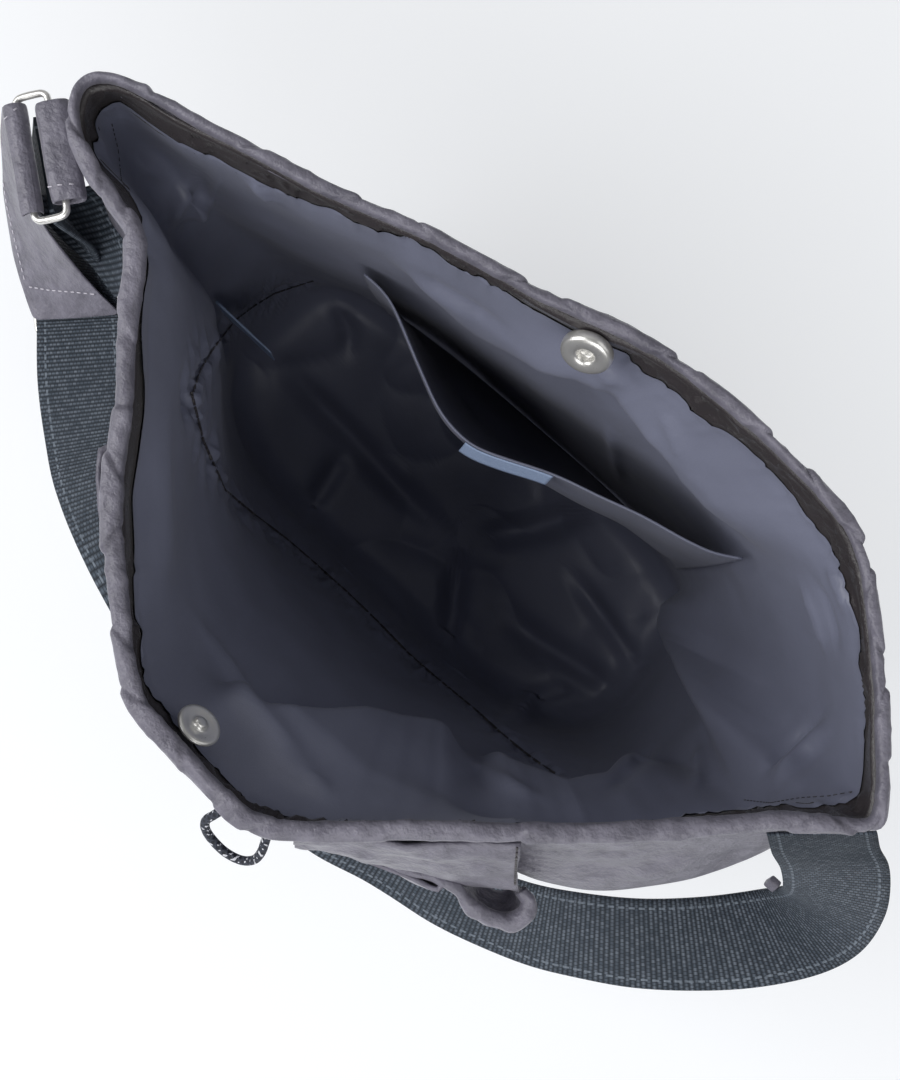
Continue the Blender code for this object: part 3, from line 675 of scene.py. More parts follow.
# %% Lining
FLOOR_HEIGHT = LINING_LOW.z + 0.0011
LINING_WALL_ROWS = 108
PANEL_RINGS = 40
lining_heights = falling(LINING_HIGH.z - 0.0003, FLOOR_HEIGHT + 0.0006, LINING_WALL_ROWS)
lining_rows = wall_rows(LINING_TREE, lining_heights, outer=False, angles=FINE_ANGLES)
COVERED = (((290, 821), (600, 826)), ((148, 245), (141, 415)))
BAND_ROWS = 8
spans = []
for first_spot, last_spot in COVERED:
    p, q = at_height(*first_spot, EDGE_HEIGHT), at_height(*last_spot, EDGE_HEIGHT)
    one = math.atan2(p.y, p.x)
    two = turned(math.atan2(q.y, q.x), one)
    spans.append((min(one, two), max(one, two)))


def cover(angle):
    """One where the lining hides the band up to the roll, nothing elsewhere."""
    shares = [0.0]
    for one, two in spans:
        at = turned(angle, (one + two) / 2)
        shares.append(min((at - one) / 0.12, (two - at) / 0.12, 1.0))
    return max(shares)


band_rows = []
for r in range(BAND_ROWS):
    row = []
    for angle in FINE_ANGLES:
        way = Vector((math.cos(angle), math.sin(angle), 0))
        wave = noise.noise(way * 7) + 0.6 * noise.noise(way * 19)
        top = LINING_HIGH.z + 0.0022 + 0.0010 * wave + 0.0090 * cover(angle)
        height = top + (LINING_HIGH.z + 0.0001 - top) * r / BAND_ROWS
        hit = from_axis(SURFACES["satin_facing"], angle, height)
        row.append(hit - way * 0.0007 if hit else row[-1].copy())
    row[-1] = row[0]
    band_rows.append(row)
joins = []
for row in lining_rows:
    for c in range(len(row) - 1):
        out = Vector((row[c].x, row[c].y, 0)).normalized()
        depth = max(LINING_HIGH.z - row[c].z, 0.0)
        row[c] = row[c] + out * fine_shift[c] * math.exp(-depth / 0.040)
        if row is lining_rows[0]:
            join = math.hypot(band_rows[-1][c].x, band_rows[-1][c].y)
            joins.append(join - math.hypot(row[c].x, row[c].y))
        row[c] = row[c] + out * joins[c] * math.exp(-depth / 0.008)
    row[-1] = row[0]
lining_rows = band_rows + lining_rows
panel_edge = [Vector((p.x, p.y, FLOOR_HEIGHT)) for p in lining_rows[-1]]
for ring in range(PANEL_RINGS):
    share = 0.985 - 0.978 * ring / (PANEL_RINGS - 1)
    lining_rows.append([Vector((p.x * share, p.y * share, FLOOR_HEIGHT)) for p in panel_edge])
lining_bm = loft(lining_rows, (0.90, 0.33))
bmesh.ops.holes_fill(
    lining_bm,
    edges=[e for e in lining_bm.edges if e.is_boundary and e.verts[0].co.z < 0.02],
    sides=0,
)
relax(lining_bm, 24, fixed=lambda co: co.z > LINING_HIGH.z - 0.006)

# %% [markdown]
# The lining's large folds hang inward and fall back underneath, which is why the cloth
# below each crest lies in shadow. A sight line through the photograph shows where a crest
# is seen, and stepping up along it from the wall tells how far the crest stands in.

# %% Large folds
CRESTS = (
    # rise above the wall that is seen, reach above and below, line in the photograph
    (0.030, 0.045, 0.011, ((158, 180), (169, 214), (175, 245), (181, 283), (185, 329), (187, 352))),
    (0.045, 0.040, 0.010, ((186, 340), (188, 400), (187, 450), (186, 520), (183, 570), (179, 612))),
    (0.052, 0.050, 0.014, ((205, 648), (235, 667), (301, 687), (368, 700), (435, 717), (485, 735))),
    (0.048, 0.050, 0.014, ((462, 725), (515, 757), (568, 777), (608, 773), (635, 750), (680, 738))),
    (0.050, 0.075, 0.015, ((634, 560), (645, 590), (661, 633), (678, 670), (695, 707), (715, 780))),
    (0.055, 0.028, 0.012, ((345, 230), (396, 277), (424, 306), (474, 346), (530, 378), (606, 410))),
    (0.042, 0.045, 0.012, ((585, 397), (618, 428), (643, 453), (668, 484), (705, 521), (745, 556))),
    (0.040, 0.030, 0.014, ((188, 252), (194, 241), (210, 232), (231, 222), (260, 212), (288, 204))),
)


def crest(spots, rise):
    """At each angle along a fold, its height and how far it stands in from the wall."""
    found = []
    for spot in seen(LINING_TREE, *spots):
        way = (spot - EYE).normalized()
        lift = min(rise, max(LINING_HIGH.z - 0.020 - spot.z, 0.004))
        high = spot - way * (lift / -way.z)
        angle = math.atan2(high.y, high.x)
        if found:
            angle = turned(angle, found[0][0])
        wall = from_axis(LINING_TREE, angle, high.z)
        if wall:
            stand = math.hypot(wall.x, wall.y) - math.hypot(high.x, high.y)
            found.append((angle, high.z, min(max(stand, 0.0), 0.019)))
    return sorted(found)


def along_crest(line, angle):
    """Height and stand of a fold at an angle."""
    for (a, za, sa), (b, zb, sb) in zip(line, line[1:]):
        if a <= angle <= b:
            share = (angle - a) / max(b - a, 1e-9)
            return za + (zb - za) * share, sa + (sb - sa) * share
    return line[-1][1], line[-1][2]


for rise, above, below, spots in CRESTS:
    line = crest(spots, rise)
    if len(line) < 4:
        print("no wall behind a fold at", spots[0])
        continue
    start, end = line[0][0], line[-1][0]
    for vert in lining_bm.verts:
        angle = turned(math.atan2(vert.co.y, vert.co.x), (start + end) / 2)
        if vert.co.z < FLOOR_HEIGHT + 0.001 or not start < angle < end:
            continue
        height, stand = along_crest(line, angle)
        gap = vert.co.z - height
        share = math.exp(-((gap / (above if gap > 0 else below)) ** 2))
        fade = min((angle - start) / 0.16, (end - angle) / 0.16, 1.0)
        fade = fade * fade * (3 - 2 * fade) * min(max((LINING_HIGH.z - vert.co.z) / 0.03, 0), 1)
        out = Vector((vert.co.x, vert.co.y, 0)).normalized()
        vert.co -= out * stand * share * fade
    print("fold stands in", round(max(s for _, _, s in line) * 1000, 1), "mm")

# %% [markdown]
# Smaller folds are raised or sunk along lines too. The seam round the bottom panel pulls
# the cloth in, and short waves run away from it on both sides. The panel itself was
# pressed flat in the sewing and never quite lies flat again, so ridges cross it.

# %% Small folds and the bottom seam
LINING_FOLDS = (
    # width and depth of the fold in metres, and its line in the photograph
    (0.0050, 0.0022, ((182, 600), (215, 648), (248, 700), (272, 730), (294, 759), (335, 803))),
    (0.0035, 0.0018, ((250, 742), (300, 775), (345, 806))),
    (0.0030, -0.0020, ((838, 700), (815, 722), (790, 745), (750, 782))),
    (0.0045, 0.0024, ((845, 715), (822, 736), (795, 760), (765, 790))),
    (0.0030, 0.0018, ((796, 575), (812, 610), (822, 640), (828, 668))),
    (0.0030, -0.0016, ((808, 570), (824, 605), (834, 636), (840, 664))),
    (0.0026, 0.0016, ((826, 560), (840, 590), (850, 625))),
    (0.0040, 0.0022, ((192, 171), (186, 195), (176, 214), (170, 232))),
    (0.0040, -0.0020, ((205, 165), (200, 195), (190, 220), (183, 245))),
    (0.0040, 0.0018, ((215, 150), (240, 165), (262, 190), (280, 205))),
    (0.0035, 0.0016, ((607, 415), (612, 440), (618, 470), (622, 490))),
    (0.0030, 0.0014, ((655, 400), (668, 425), (680, 455), (690, 480))),
    (0.0030, 0.0014, ((560, 330), (585, 352), (610, 378), (640, 392))),
    (0.0040, -0.0016, ((400, 262), (440, 290), (480, 315), (520, 335))),
    (0.0040, 0.0020, ((440, 770), (470, 765), (520, 790), (560, 800))),
    (0.0040, -0.0018, ((600, 800), (625, 775), (650, 750), (668, 742))),
    (0.0030, 0.0016, ((690, 800), (700, 775), (698, 750), (690, 735))),
    (0.0040, 0.0020, ((125, 150), (140, 165), (156, 172), (166, 190))),
)
PANEL_FOLDS = (
    (0.0060, 0.0050, ((268, 347), (308, 393), (354, 440), (408, 500), (461, 547))),
    (0.0050, 0.0035, ((354, 440), (330, 480), (301, 527))),
    (0.0070, 0.0060, ((461, 547), (490, 536), (515, 533), (560, 520), (608, 507))),
    (0.0060, 0.0050, ((461, 547), (455, 590), (448, 640), (445, 665))),
    (0.0060, 0.0050, ((490, 600), (535, 640), (581, 668), (635, 707))),
    (0.0050, 0.0040, ((560, 560), (590, 600), (625, 650), (650, 690))),
    (0.0050, 0.0035, ((420, 400), (450, 385), (485, 380))),
    (0.0050, 0.0035, ((500, 735), (530, 700), (560, 690), (600, 700))),
    (0.0045, 0.0030, ((330, 300), (350, 330), (345, 370))),
)
SEAM_SPOTS = (
    (192, 395), (203, 440), (225, 490), (255, 515), (288, 540), (318, 566), (348, 593),
    (378, 622), (408, 653), (432, 674), (455, 693), (478, 712), (501, 733), (524, 752),
    (546, 768), (558, 775),
)  # fmt: skip
SEAM_BACK = ((192, 395), (200, 370), (212, 350), (235, 320), (255, 305), (275, 293), (315, 280))


def pucker(bm, points, reach, depth, pitch, sink):
    """Pulls cloth in along a seam, with small waves on both sides of it."""
    tree = near_lines(points)
    step = sum((b - a).length for a, b in zip(points, points[1:])) / len(points)
    bm.normal_update()
    moves = []
    for vert in bm.verts:
        _, index, far = tree.find(vert.co)
        if far > 2.6 * reach:
            continue
        wave = noise.noise(Vector((index * step / pitch, 0.7 * far / reach, 2.0)))
        wave *= 1.6 * depth * math.exp(-((far / reach) ** 2))
        groove = sink * math.exp(-((far / 0.0022) ** 2))
        moves.append((vert, rising(vert) * (wave - groove)))
    for vert, move in moves:
        vert.co += move


def on_panel(co):
    """One on the bottom panel, falling to nothing up the wall."""
    return min(max((0.085 - co.z) / 0.07, 0.0), 1.0)


lining_tree = BVHTree.FromBMesh(lining_bm)
small_lines = [(w, d, seen(lining_tree, *line)) for w, d, line in LINING_FOLDS + PANEL_FOLDS]
seams = [seen(lining_tree, *SEAM_SPOTS), seen(lining_tree, *SEAM_BACK)]
for vert in lining_bm.verts:
    spot = vert.co * 13 + Vector((0.3, 1.9, 4.0))
    ridge = (1 - abs(noise.noise(spot))) ** 6 + 0.5 * (1 - abs(noise.noise(spot * 2.1))) ** 8
    vert.co += Vector((0, 0, 0.0028 * ridge * on_panel(vert.co) if vert.co.z < 0.03 else 0))
crumple(lining_bm, 15.0, 0.0026, seed=5.5, weigh=lambda co: min((LINING_HIGH.z - co.z) / 0.02, 1))
crumple(lining_bm, 45.0, 0.0008, seed=1.5, weigh=lambda co: min((LINING_HIGH.z - co.z) / 0.01, 1))
for width, depth, line in small_lines:
    press(lining_bm, line, width, depth * 1.5)
for line in seams:
    pucker(lining_bm, line, 0.0110, 0.0030, 0.0055, 0.0034)
for vert in lining_bm.verts:
    vert.co.z = max(vert.co.z, FLOOR_HEIGHT)
lining = place("satin_lining", lining_bm, "lining_satin", ["lining"])

# %% [markdown]
# ## Pockets
#
# Two more cloths are read from their solids in the same way, with level rays from the
# front. The inner pocket sags off the back wall and has a stitched hem. The front pocket
# stands off the body and pleats at each top corner.


# %% Inner pocket
def front_rows(node, columns, rows, low, high, trim=0.0004, back_off=0.0):
    """Rows of points on a node's front side, read by level rays along +Y."""
    tree = tree_of(node)
    grid = []
    for r in range(rows):
        z = high.z - trim - (high.z - low.z - 2 * trim) * r / (rows - 1)
        row = []
        for c in range(columns):
            x = low.x + trim + (high.x - low.x - 2 * trim) * c / (columns - 1)
            hit = tree.ray_cast(Vector((x, -0.4, z)), Vector((0, 1, 0)))[0]
            row.append(hit + Vector((0, back_off, 0)) if hit else None)
        grid.append(row)
    return grid


POCKET_LOW, POCKET_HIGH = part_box("inner_pocket")
pocket_rows = front_rows("inner_pocket", 97, 66, POCKET_LOW, POCKET_HIGH)
for row in pocket_rows:
    for _ in range(14):
        row[1:-1] = [(row[i - 1] + row[i] * 2 + row[i + 1]) / 4 for i in range(1, len(row) - 1)]
pocket_bm = loft(pocket_rows, (0.20, 0.13))
relax(pocket_bm, 10)


def off_pocket_edge(co):
    return min(
        (co.x - POCKET_LOW.x) / 0.012, (POCKET_HIGH.x - co.x) / 0.012, (co.z - POCKET_LOW.z) / 0.02, 1
    )


crumple(pocket_bm, 22.0, 0.0018, seed=2.2, weigh=off_pocket_edge)
hem_line = [p + Vector((0, 0, -0.0075)) for p in pocket_rows[0]]
press(pocket_bm, hem_line, 0.0010, -0.0007, sharp=True)
inner_pocket = place("inner_pocket_cloth", pocket_bm, "lining_satin", ["inner_pocket"], wall=0.0009)

# %% [markdown]
# The woven label is folded over the inner pocket's hem and stays plain here. The tag is a
# short folded strip in the left end seam, seen on its edge. Both are small sheets of the
# solids' own faces, rounded a little, since cloth this short hardly bends.

# %% Label and tag
LABEL_LOW, LABEL_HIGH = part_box("pocket_label")
LABEL_ROWS = 9
LABEL_COLUMNS = 35
LABEL_DROP = (LABEL_HIGH.z - LABEL_LOW.z) * 1.25
label_rows = []
for r in range(LABEL_ROWS):
    share = r / (LABEL_ROWS - 1)
    z = LABEL_HIGH.z + 0.0004 - LABEL_DROP * share
    row = []
    for c in range(LABEL_COLUMNS):
        x = LABEL_LOW.x + (LABEL_HIGH.x - LABEL_LOW.x) * c / (LABEL_COLUMNS - 1)
        start = Vector((x, -0.2, z))
        hit = SURFACES["inner_pocket_cloth"].ray_cast(start, Vector((0, 1, 0)))[0]
        row.append(hit + Vector((0, -0.0011 - 0.0034 * share, 0)) if hit else row[-1].copy())
    label_rows.append(row)
label_bm = loft(label_rows, (0.034, 0.006))
relax(label_bm, 2)
label = place("woven_label", label_bm, "label_cloth", ["pocket_label"], wall=0.0005)


def softened(node, cuts, rounds):
    """A fine copy of a solid: merged, cut into smaller faces and smoothed a little."""
    bm = bmesh.new()
    bm.from_mesh(frame["nodes"][node].data)
    bmesh.ops.remove_doubles(bm, verts=bm.verts, dist=1e-6)
    bmesh.ops.join_triangles(
        bm, faces=bm.faces, angle_face_threshold=0.6, angle_shape_threshold=0.8
    )
    for _ in range(cuts):
        bmesh.ops.subdivide_edges(bm, edges=bm.edges, cuts=1, use_grid_fill=True)
    relax(bm, rounds, 0.35)
    return bm


tag_bm = softened("inner_tag", 3, 1)
crumple(tag_bm, 70.0, 0.0006, seed=0.7)
tag = place("folded_tag", tag_bm, "label_cloth", ["inner_tag"])

# %% [markdown]
# The front pocket is a second layer of the padded nylon, gathered at its mouth by a cord in
# a hem. It is cut wider than the place it is sewn to, which is why it stands off the shell.
# Its rows follow the solid's outer face between the angles where the pocket begins and ends.

# %% Front pocket
FRONT_LOW, FRONT_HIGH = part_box("front_pocket")
FRONT_TREE = tree_of("front_pocket")
SCAN_STEPS = 3600


def front_span():
    """The angles between which the front pocket lies, at its mouth."""
    held = []
    for i in range(SCAN_STEPS):
        angle = -math.pi + math.pi * i / SCAN_STEPS
        if from_axis(FRONT_TREE, angle, FRONT_HIGH.z - 0.001, outer=True):
            held.append(angle)
    return held[0], held[-1]


first, last = front_span()
FRONT_COLUMNS = 121
DENSE = 1500
dense = [
    from_axis(FRONT_TREE, first + (last - first) * i / DENSE, FRONT_HIGH.z - 0.001, outer=True)
    for i in range(DENSE + 1)
]
dense = [p for p in dense if p]
front_angles = [math.atan2(p.y, p.x) for p in spaced(dense, FRONT_COLUMNS)]
front_cloth_rows = []
for height in falling(FRONT_HIGH.z - 0.0006, FRONT_LOW.z + 0.0006, 86):
    row = [from_axis(FRONT_TREE, angle, height, outer=True) for angle in front_angles]
    hits = [i for i, p in enumerate(row) if p]
    for i in range(len(row)):
        if row[i] is None:
            near = min(hits, key=lambda k: abs(k - i))
            row[i] = row[near] + (row[near] - row[near + (1 if i < near else -1)]) * abs(i - near)
    front_cloth_rows.append(row)
front_bm = loft(front_cloth_rows[::-1], (0.24, 0.19))
relax(front_bm, 3)


def off_front_edge(co):
    return min((FRONT_HIGH.z - co.z) / 0.006 + 0.3, (co.z - FRONT_LOW.z) / 0.02, 1)


crumple(front_bm, 26.0, 0.0022, seed=6.3, weigh=off_front_edge)
crumple(front_bm, 75.0, 0.0008, seed=4.3, weigh=off_front_edge)
front_hem = [p + Vector((0, 0, -0.011)) for p in front_cloth_rows[0]]
press(front_bm, front_hem, 0.0012, -0.0009, sharp=True)
front_pocket = place("front_pocket_cloth", front_bm, "outer_nylon", ["front_pocket"], wall=0.0018)

# %% [markdown]
# Left of the middle the front panel swells out below the rim, where the pocket's gathers
# push it. The swelling is a short sheet of its own between two lines of the photograph:
# one just under the roll, and one where the cloth turns under and is lost from sight.

# %% Front bulge
BULGE_TOP = ((294, 837), (340, 841), (400, 843), (460, 844), (521, 845))
BULGE_FOOT = ((302, 842), (345, 854), (400, 869), (452, 884), (519, 891))


def between(upper, lower, count, rows, bow):
    """Rows of points from one line to another, bowed outward in the middle."""
    top, foot = spaced(upper, count), spaced(lower, count)
    grid = []
    for r in range(rows):
        share = r / (rows - 1)
        sag = Vector(bow) * math.sin(math.pi * share)
        grid.append([a.lerp(b, share) + sag for a, b in zip(top, foot)])
    return grid


bulge_rows = between(
    [at_height(x, y, 0.2700) for x, y in BULGE_TOP],
    [at_height(x, y, 0.2275) for x, y in BULGE_FOOT],
    81,
    26,
    (0.0006, -0.0022, 0.0012),
)
bulge_bm = loft(bulge_rows, (0.09, 0.05))
bmesh.ops.recalc_face_normals(bulge_bm, faces=bulge_bm.faces)
crumple(bulge_bm, 55.0, 0.0022, seed=4.4, stretch=(1, 1, 2.2))
crumple(bulge_bm, 140.0, 0.0007, seed=6.4)
bulge = place("front_bulge", bulge_bm, "outer_nylon", wall=0.0012)

# %% [markdown]
# The pocket's mouth is a rolled hem for the cord. Where the cord pulls it in, the roll is
# pushed out and the spare cloth folds inward, so a dark pleat shows inside the loop. The
# roll is a padded tube along the fold that is seen, and the pleat is a sheet below it.

# %% Pocket corner
LIP = (
    # column, row, height and radius of the rolled edge of the pocket's mouth
    (306, 842, 0.2310, 0.0012),
    (345, 851, 0.2312, 0.0015),
    (385, 862, 0.2312, 0.0017),
    (420, 873, 0.2308, 0.0019),
    (446, 882, 0.2302, 0.0022),
    (461, 893, 0.2280, 0.0027),
    (472, 907, 0.2255, 0.0031),
    (490, 918, 0.2235, 0.0034),
    (512, 922, 0.2225, 0.0036),
    (526, 914, 0.2230, 0.0034),
    (529, 901, 0.2240, 0.0030),
    (521, 890, 0.2245, 0.0024),
)


def tapered(points, radii, sides):
    """Rings round a line whose thickness changes along it."""
    rings = tube_rows(points, 1.0, sides)
    for point, radius, ring in zip(points, radii, rings):
        for k, spot in enumerate(ring):
            ring[k] = point + (spot - point) * radius
    return rings


lip_line = smooth_line([at_height(x, y, z) for x, y, z, _ in LIP], 12)
lip_radii = [p.x for p in smooth_line([Vector((r, 0, 0)) for _, _, _, r in LIP], 12)]
lip_bm = loft(tapered(lip_line, lip_radii, 18), (0.012, 0.10))
bmesh.ops.holes_fill(lip_bm, edges=[e for e in lip_bm.edges if e.is_boundary], sides=0)
bmesh.ops.recalc_face_normals(lip_bm, faces=lip_bm.faces)
crumple(lip_bm, 110.0, 0.0009, seed=2.6)
crumple(lip_bm, 260.0, 0.0004, seed=5.6)
lip = place("pocket_corner_roll", lip_bm, "outer_nylon")

PLEAT_ROWS = 14
pleat_rows = []
mouth = lip_line[48:]
foot = at_height(500, 886, 0.2180)
for r in range(PLEAT_ROWS):
    share = r / (PLEAT_ROWS - 1)
    row = []
    for i, point in enumerate(mouth):
        spot = point.lerp(foot + (point - foot) * 0.35, share)
        fold = math.sin(i / len(mouth) * 3 * math.pi)
        row.append(spot + Vector((0, 0, -0.0150 * share - 0.0030 * fold * share * (1 - share) * 4)))
    pleat_rows.append(row)
pleat_bm = loft(pleat_rows, (0.05, 0.02))
bmesh.ops.recalc_face_normals(pleat_bm, faces=pleat_bm.faces)
pleat = place("pocket_corner_pleat", pleat_bm, "outer_nylon", wall=0.0010)

# %% [markdown]
# ## The strap
#
# The strap is one band of 38 mm webbing. Cloth simulation would stretch it, so it is laid
# directly: a middle line and the heading of its outer edge, row by row, as its solid has
# them. The weave belongs to the band, so its map counts metres across and along.

# %% Strap
STRAP_WIDTH, STRAP_THICKNESS = 0.038, 0.0016
HALF_WIDTH, FRONT_DEPTH, HEIGHT = 0.185, 0.145, 0.280
STRAP_ROUTE = (
    # x, y, z as shares of half width, front depth and height; heading and lift in degrees
    (-0.989, -0.197, 0.884, 143.0, 0.0),
    (-0.962, -0.234, 0.829, 165.0, -22.0),
    (-0.919, -0.283, 0.775, 195.0, -38.0),
    (-0.865, -0.352, 0.736, 213.0, -33.0),
    (-0.813, -0.410, 0.718, 222.0, -22.0),
    (-0.728, -0.517, 0.714, 225.0, -18.0),
    (-0.646, -0.621, 0.686, 229.0, -20.0),
    (-0.577, -0.710, 0.636, 238.0, -23.0),
    (-0.464, -0.819, 0.529, 250.0, -25.0),
    (-0.194, -0.980, 0.386, 264.0, -25.0),
    (0.010, -1.038, 0.336, 270.0, -25.0),
    (0.297, -1.041, 0.329, 277.0, -25.0),
    (0.467, -0.982, 0.350, 283.0, -25.0),
    (0.631, -0.927, 0.400, 290.0, -25.0),
    (0.761, -0.846, 0.471, 299.0, -22.0),
    (0.864, -0.754, 0.536, 310.0, -17.0),
    (0.983, -0.626, 0.582, 316.0, -10.0),
    (1.091, -0.484, 0.607, 323.0, 0.0),
    (1.167, -0.340, 0.643, 338.0, 8.0),
    (1.179, -0.247, 0.700, 362.0, 10.0),
    (1.115, -0.184, 0.814, 388.0, 8.0),
    (1.030, -0.136, 0.907, 401.0, 4.0),
    (0.976, -0.121, 0.941, 403.5, 0.0),
    (0.938, -0.101, 0.964, 403.0, 0.0),
)


def strap_rows(per_span, columns):
    """Rows across the strap from its outer edge to its inner one."""
    centres, edges = [], []
    for x, y, z, heading, lift in STRAP_ROUTE:
        centres.append(Vector((x * HALF_WIDTH, y * FRONT_DEPTH, z * HEIGHT)))
        turn_, rise = math.radians(heading), math.radians(lift)
        level = math.cos(rise)
        edges.append(Vector((level * math.cos(turn_), level * math.sin(turn_), math.sin(rise))))
    centres = smooth_line(centres, per_span)
    edges = [edge.normalized() for edge in smooth_line(edges, per_span)]
    rows = []
    for centre, edge in zip(centres, edges):
        shares = [0.5 - c / (columns - 1) for c in range(columns)]
        rows.append([centre + edge * share * STRAP_WIDTH for share in shares])
    return rows, centres


strap_grid, strap_middle = strap_rows(18, 15)
strap_length = sum((b - a).length for a, b in zip(strap_middle, strap_middle[1:]))
strap_bm = loft(strap_grid, (STRAP_WIDTH, strap_length))
crumple(strap_bm, 30.0, 0.0007, seed=7.7)
strap = place("webbing_strap", strap_bm, "webbing", ["strap"], wall=STRAP_THICKNESS, offset=0.0)
ply_rows = between(
    [at_height(x, y, 0.2300) for x, y in ((88, 186), (104, 200), (118, 222), (128, 250), (130, 292))],
    [at_height(x, y, 0.2240) for x, y in ((34, 196), (44, 220), (66, 244), (92, 266), (114, 296))],
    41,
    21,
    (0, 0, -0.0020),
)
ply_bm = loft([list(row) for row in zip(*ply_rows)], (0.030, 0.038))
bmesh.ops.recalc_face_normals(ply_bm, faces=ply_bm.faces)
ply = place("strap_inner_ply", ply_bm, "webbing", wall=STRAP_THICKNESS)
print("strap is", round(strap_length * 1000), "mm long")

# %% [markdown]
# ## Tab, cover, keeper and metal
#
# The small pieces keep the solids' own shapes. A copy of each solid is merged, cut finer
# and smoothed, which rounds the cloth's folds and the bent wire alike. Only the snap's
# socket grows a little about its middle, because it looks larger than the stud.

# %% Small pieces
SOCKET_GROWTH = 1.15

tab_bm = softened("side_tab", 3, 9)
crumple(tab_bm, 60.0, 0.0006, seed=1.1)
tab = place("side_tab_cloth", tab_bm, "outer_nylon", ["side_tab"])

cover_bm = softened("strap_end_cover", 3, 9)
crumple(cover_bm, 50.0, 0.0007, seed=9.1)
cover = place("strap_end_cloth", cover_bm, "outer_nylon", ["strap_end_cover"])

keeper_bm = softened("strap_keeper", 1, 1)
crumple(keeper_bm, 120.0, 0.0004, seed=3.3)
keeper = place("keeper_tab", keeper_bm, "outer_nylon", ["strap_keeper"])

for node, name in (
    ("strap_ring", "bent_ring"),
    ("slide_adjuster", "bent_slide"),
    ("snap_socket", "snap_socket_disc"),
    ("snap_stud", "snap_stud_disc"),
):
    metal_bm = softened(node, 0, 0)
    if node == "snap_socket":
        middle = sum((vert.co for vert in metal_bm.verts), Vector()) / len(metal_bm.verts)
        bmesh.ops.scale(
            metal_bm,
            vec=(SOCKET_GROWTH,) * 3,
            verts=metal_bm.verts,
            space=Matrix.Translation(-middle),
        )
    metal = place(name, metal_bm, "satin_nickel", [node])
    fine = metal.modifiers.new("round", "SUBSURF")
    fine.levels = fine.render_levels = 2

# %% [markdown]
# ## Stitches
#
# Thread shows as short pale dashes. Each is a small stretched block with few faces, laid
# along a line on the cloth and lifted by half its thickness.


# %% Stitches
def dashes(name, lines, pitch=0.0027, size=(0.0017, 0.0005, 0.0004), slot="label_cloth"):
    """One mesh of stitches along several lines of (point, normal) pairs."""
    bm = bmesh.new()
    for line in lines:
        points = [p for p, _ in line]
        length = sum((b - a).length for a, b in zip(points, points[1:]))
        count = max(int(length / pitch), 2)
        tree = near_lines(points)
        places = spaced(points, count)
        for i in range(count - 1):
            along = (places[i + 1] - places[i]).normalized()
            normal = line[tree.find(places[i])[1]][1]
            side = normal.cross(along).normalized()
            normal = along.cross(side)
            made = bmesh.ops.create_cube(bm, size=1.0)["verts"]
            bmesh.ops.scale(bm, vec=Vector(size), verts=made)
            turned = Matrix((along, side, normal)).transposed().to_4x4()
            lifted = Matrix.Translation(places[i] + normal * size[2] * 0.4)
            bmesh.ops.transform(bm, matrix=lifted @ turned, verts=made)
    bmesh.ops.bevel(
        bm,
        geom=bm.edges,
        offset=size[2] * 0.3,
        segments=1,
        profile=0.5,
        affect="EDGES",
        material=-1,
    )
    return place(name, bm, slot)


def stitched(surface, *spots, step=2.0):
    """Points and normals on a finished piece along a line of the photograph."""
    line = []
    for (x1, y1), (x2, y2) in zip(spots, spots[1:]):
        count = max(int(math.hypot(x2 - x1, y2 - y1) / step), 1)
        for i in range(count + 1):
            share = i / count
            way = sight(x1 + (x2 - x1) * share, y1 + (y2 - y1) * share)
            spot, normal, _, _ = SURFACES[surface].ray_cast(EYE, way)
            if spot:
                line.append((spot, normal if normal.dot(way) < 0 else -normal))
    return line


tab_lines = (
    stitched("side_tab_cloth", (34, 86), (48, 84), (62, 83), (76, 82)),
    stitched("side_tab_cloth", (44, 188), (58, 185), (70, 184), (82, 184)),
    stitched("strap_end_cloth", (6, 118), (14, 110), (24, 104), (32, 102)),
    stitched("strap_end_cloth", (4, 185), (8, 210), (14, 235), (20, 260), (26, 285)),
    stitched("strap_end_cloth", (31, 287), (50, 290), (75, 292), (104, 295)),
    stitched("strap_end_cloth", (98, 279), (106, 290), (112, 302), (116, 312)),
)


def on_pocket(spots):
    """A line on the inner pocket's front through (x, z) spots."""
    line = []
    for (x1, z1), (x2, z2) in zip(spots, spots[1:]):
        for i in range(40):
            share = i / 39
            start = Vector((x1 + (x2 - x1) * share, -0.2, z1 + (z2 - z1) * share))
            spot, normal, _, _ = SURFACES["inner_pocket_cloth"].ray_cast(start, Vector((0, 1, 0)))
            if spot:
                line.append((spot, normal if normal.y < 0 else -normal))
    return line


pocket_left, pocket_right = POCKET_LOW.x + 0.004, POCKET_HIGH.x - 0.004
hem_lines = (
    on_pocket(((pocket_left, POCKET_HIGH.z - 0.003), (pocket_right, POCKET_HIGH.z - 0.003))),
    on_pocket(((pocket_left, POCKET_HIGH.z - 0.011), (pocket_right, POCKET_HIGH.z - 0.011))),
    on_pocket(((pocket_right, POCKET_HIGH.z - 0.003), (pocket_right, POCKET_LOW.z + 0.01))),
    on_pocket(((pocket_right - 0.004, POCKET_HIGH.z - 0.003), (pocket_right - 0.004, 0.10))),
    on_pocket(((pocket_left, POCKET_HIGH.z - 0.003), (pocket_left, POCKET_LOW.z + 0.01))),
)
gather_lines = (
    stitched("satin_lining", (745, 800), (770, 803), (800, 798), (830, 796), (857, 791)),
    stitched("satin_lining", (112, 125), (118, 150), (120, 170), (122, 185), (133, 198)),
)
dashes("tab_stitches", [n for n in tab_lines if len(n) > 3], slot="outer_nylon")
dashes(
    "pocket_stitches",
    [n for n in hem_lines + gather_lines if len(n) > 3],
    size=(0.0016, 0.0004, 0.0003),
    slot="lining_satin",
)
seam_lines = [stitched("satin_lining", *SEAM_SPOTS), stitched("satin_lining", *SEAM_BACK)]
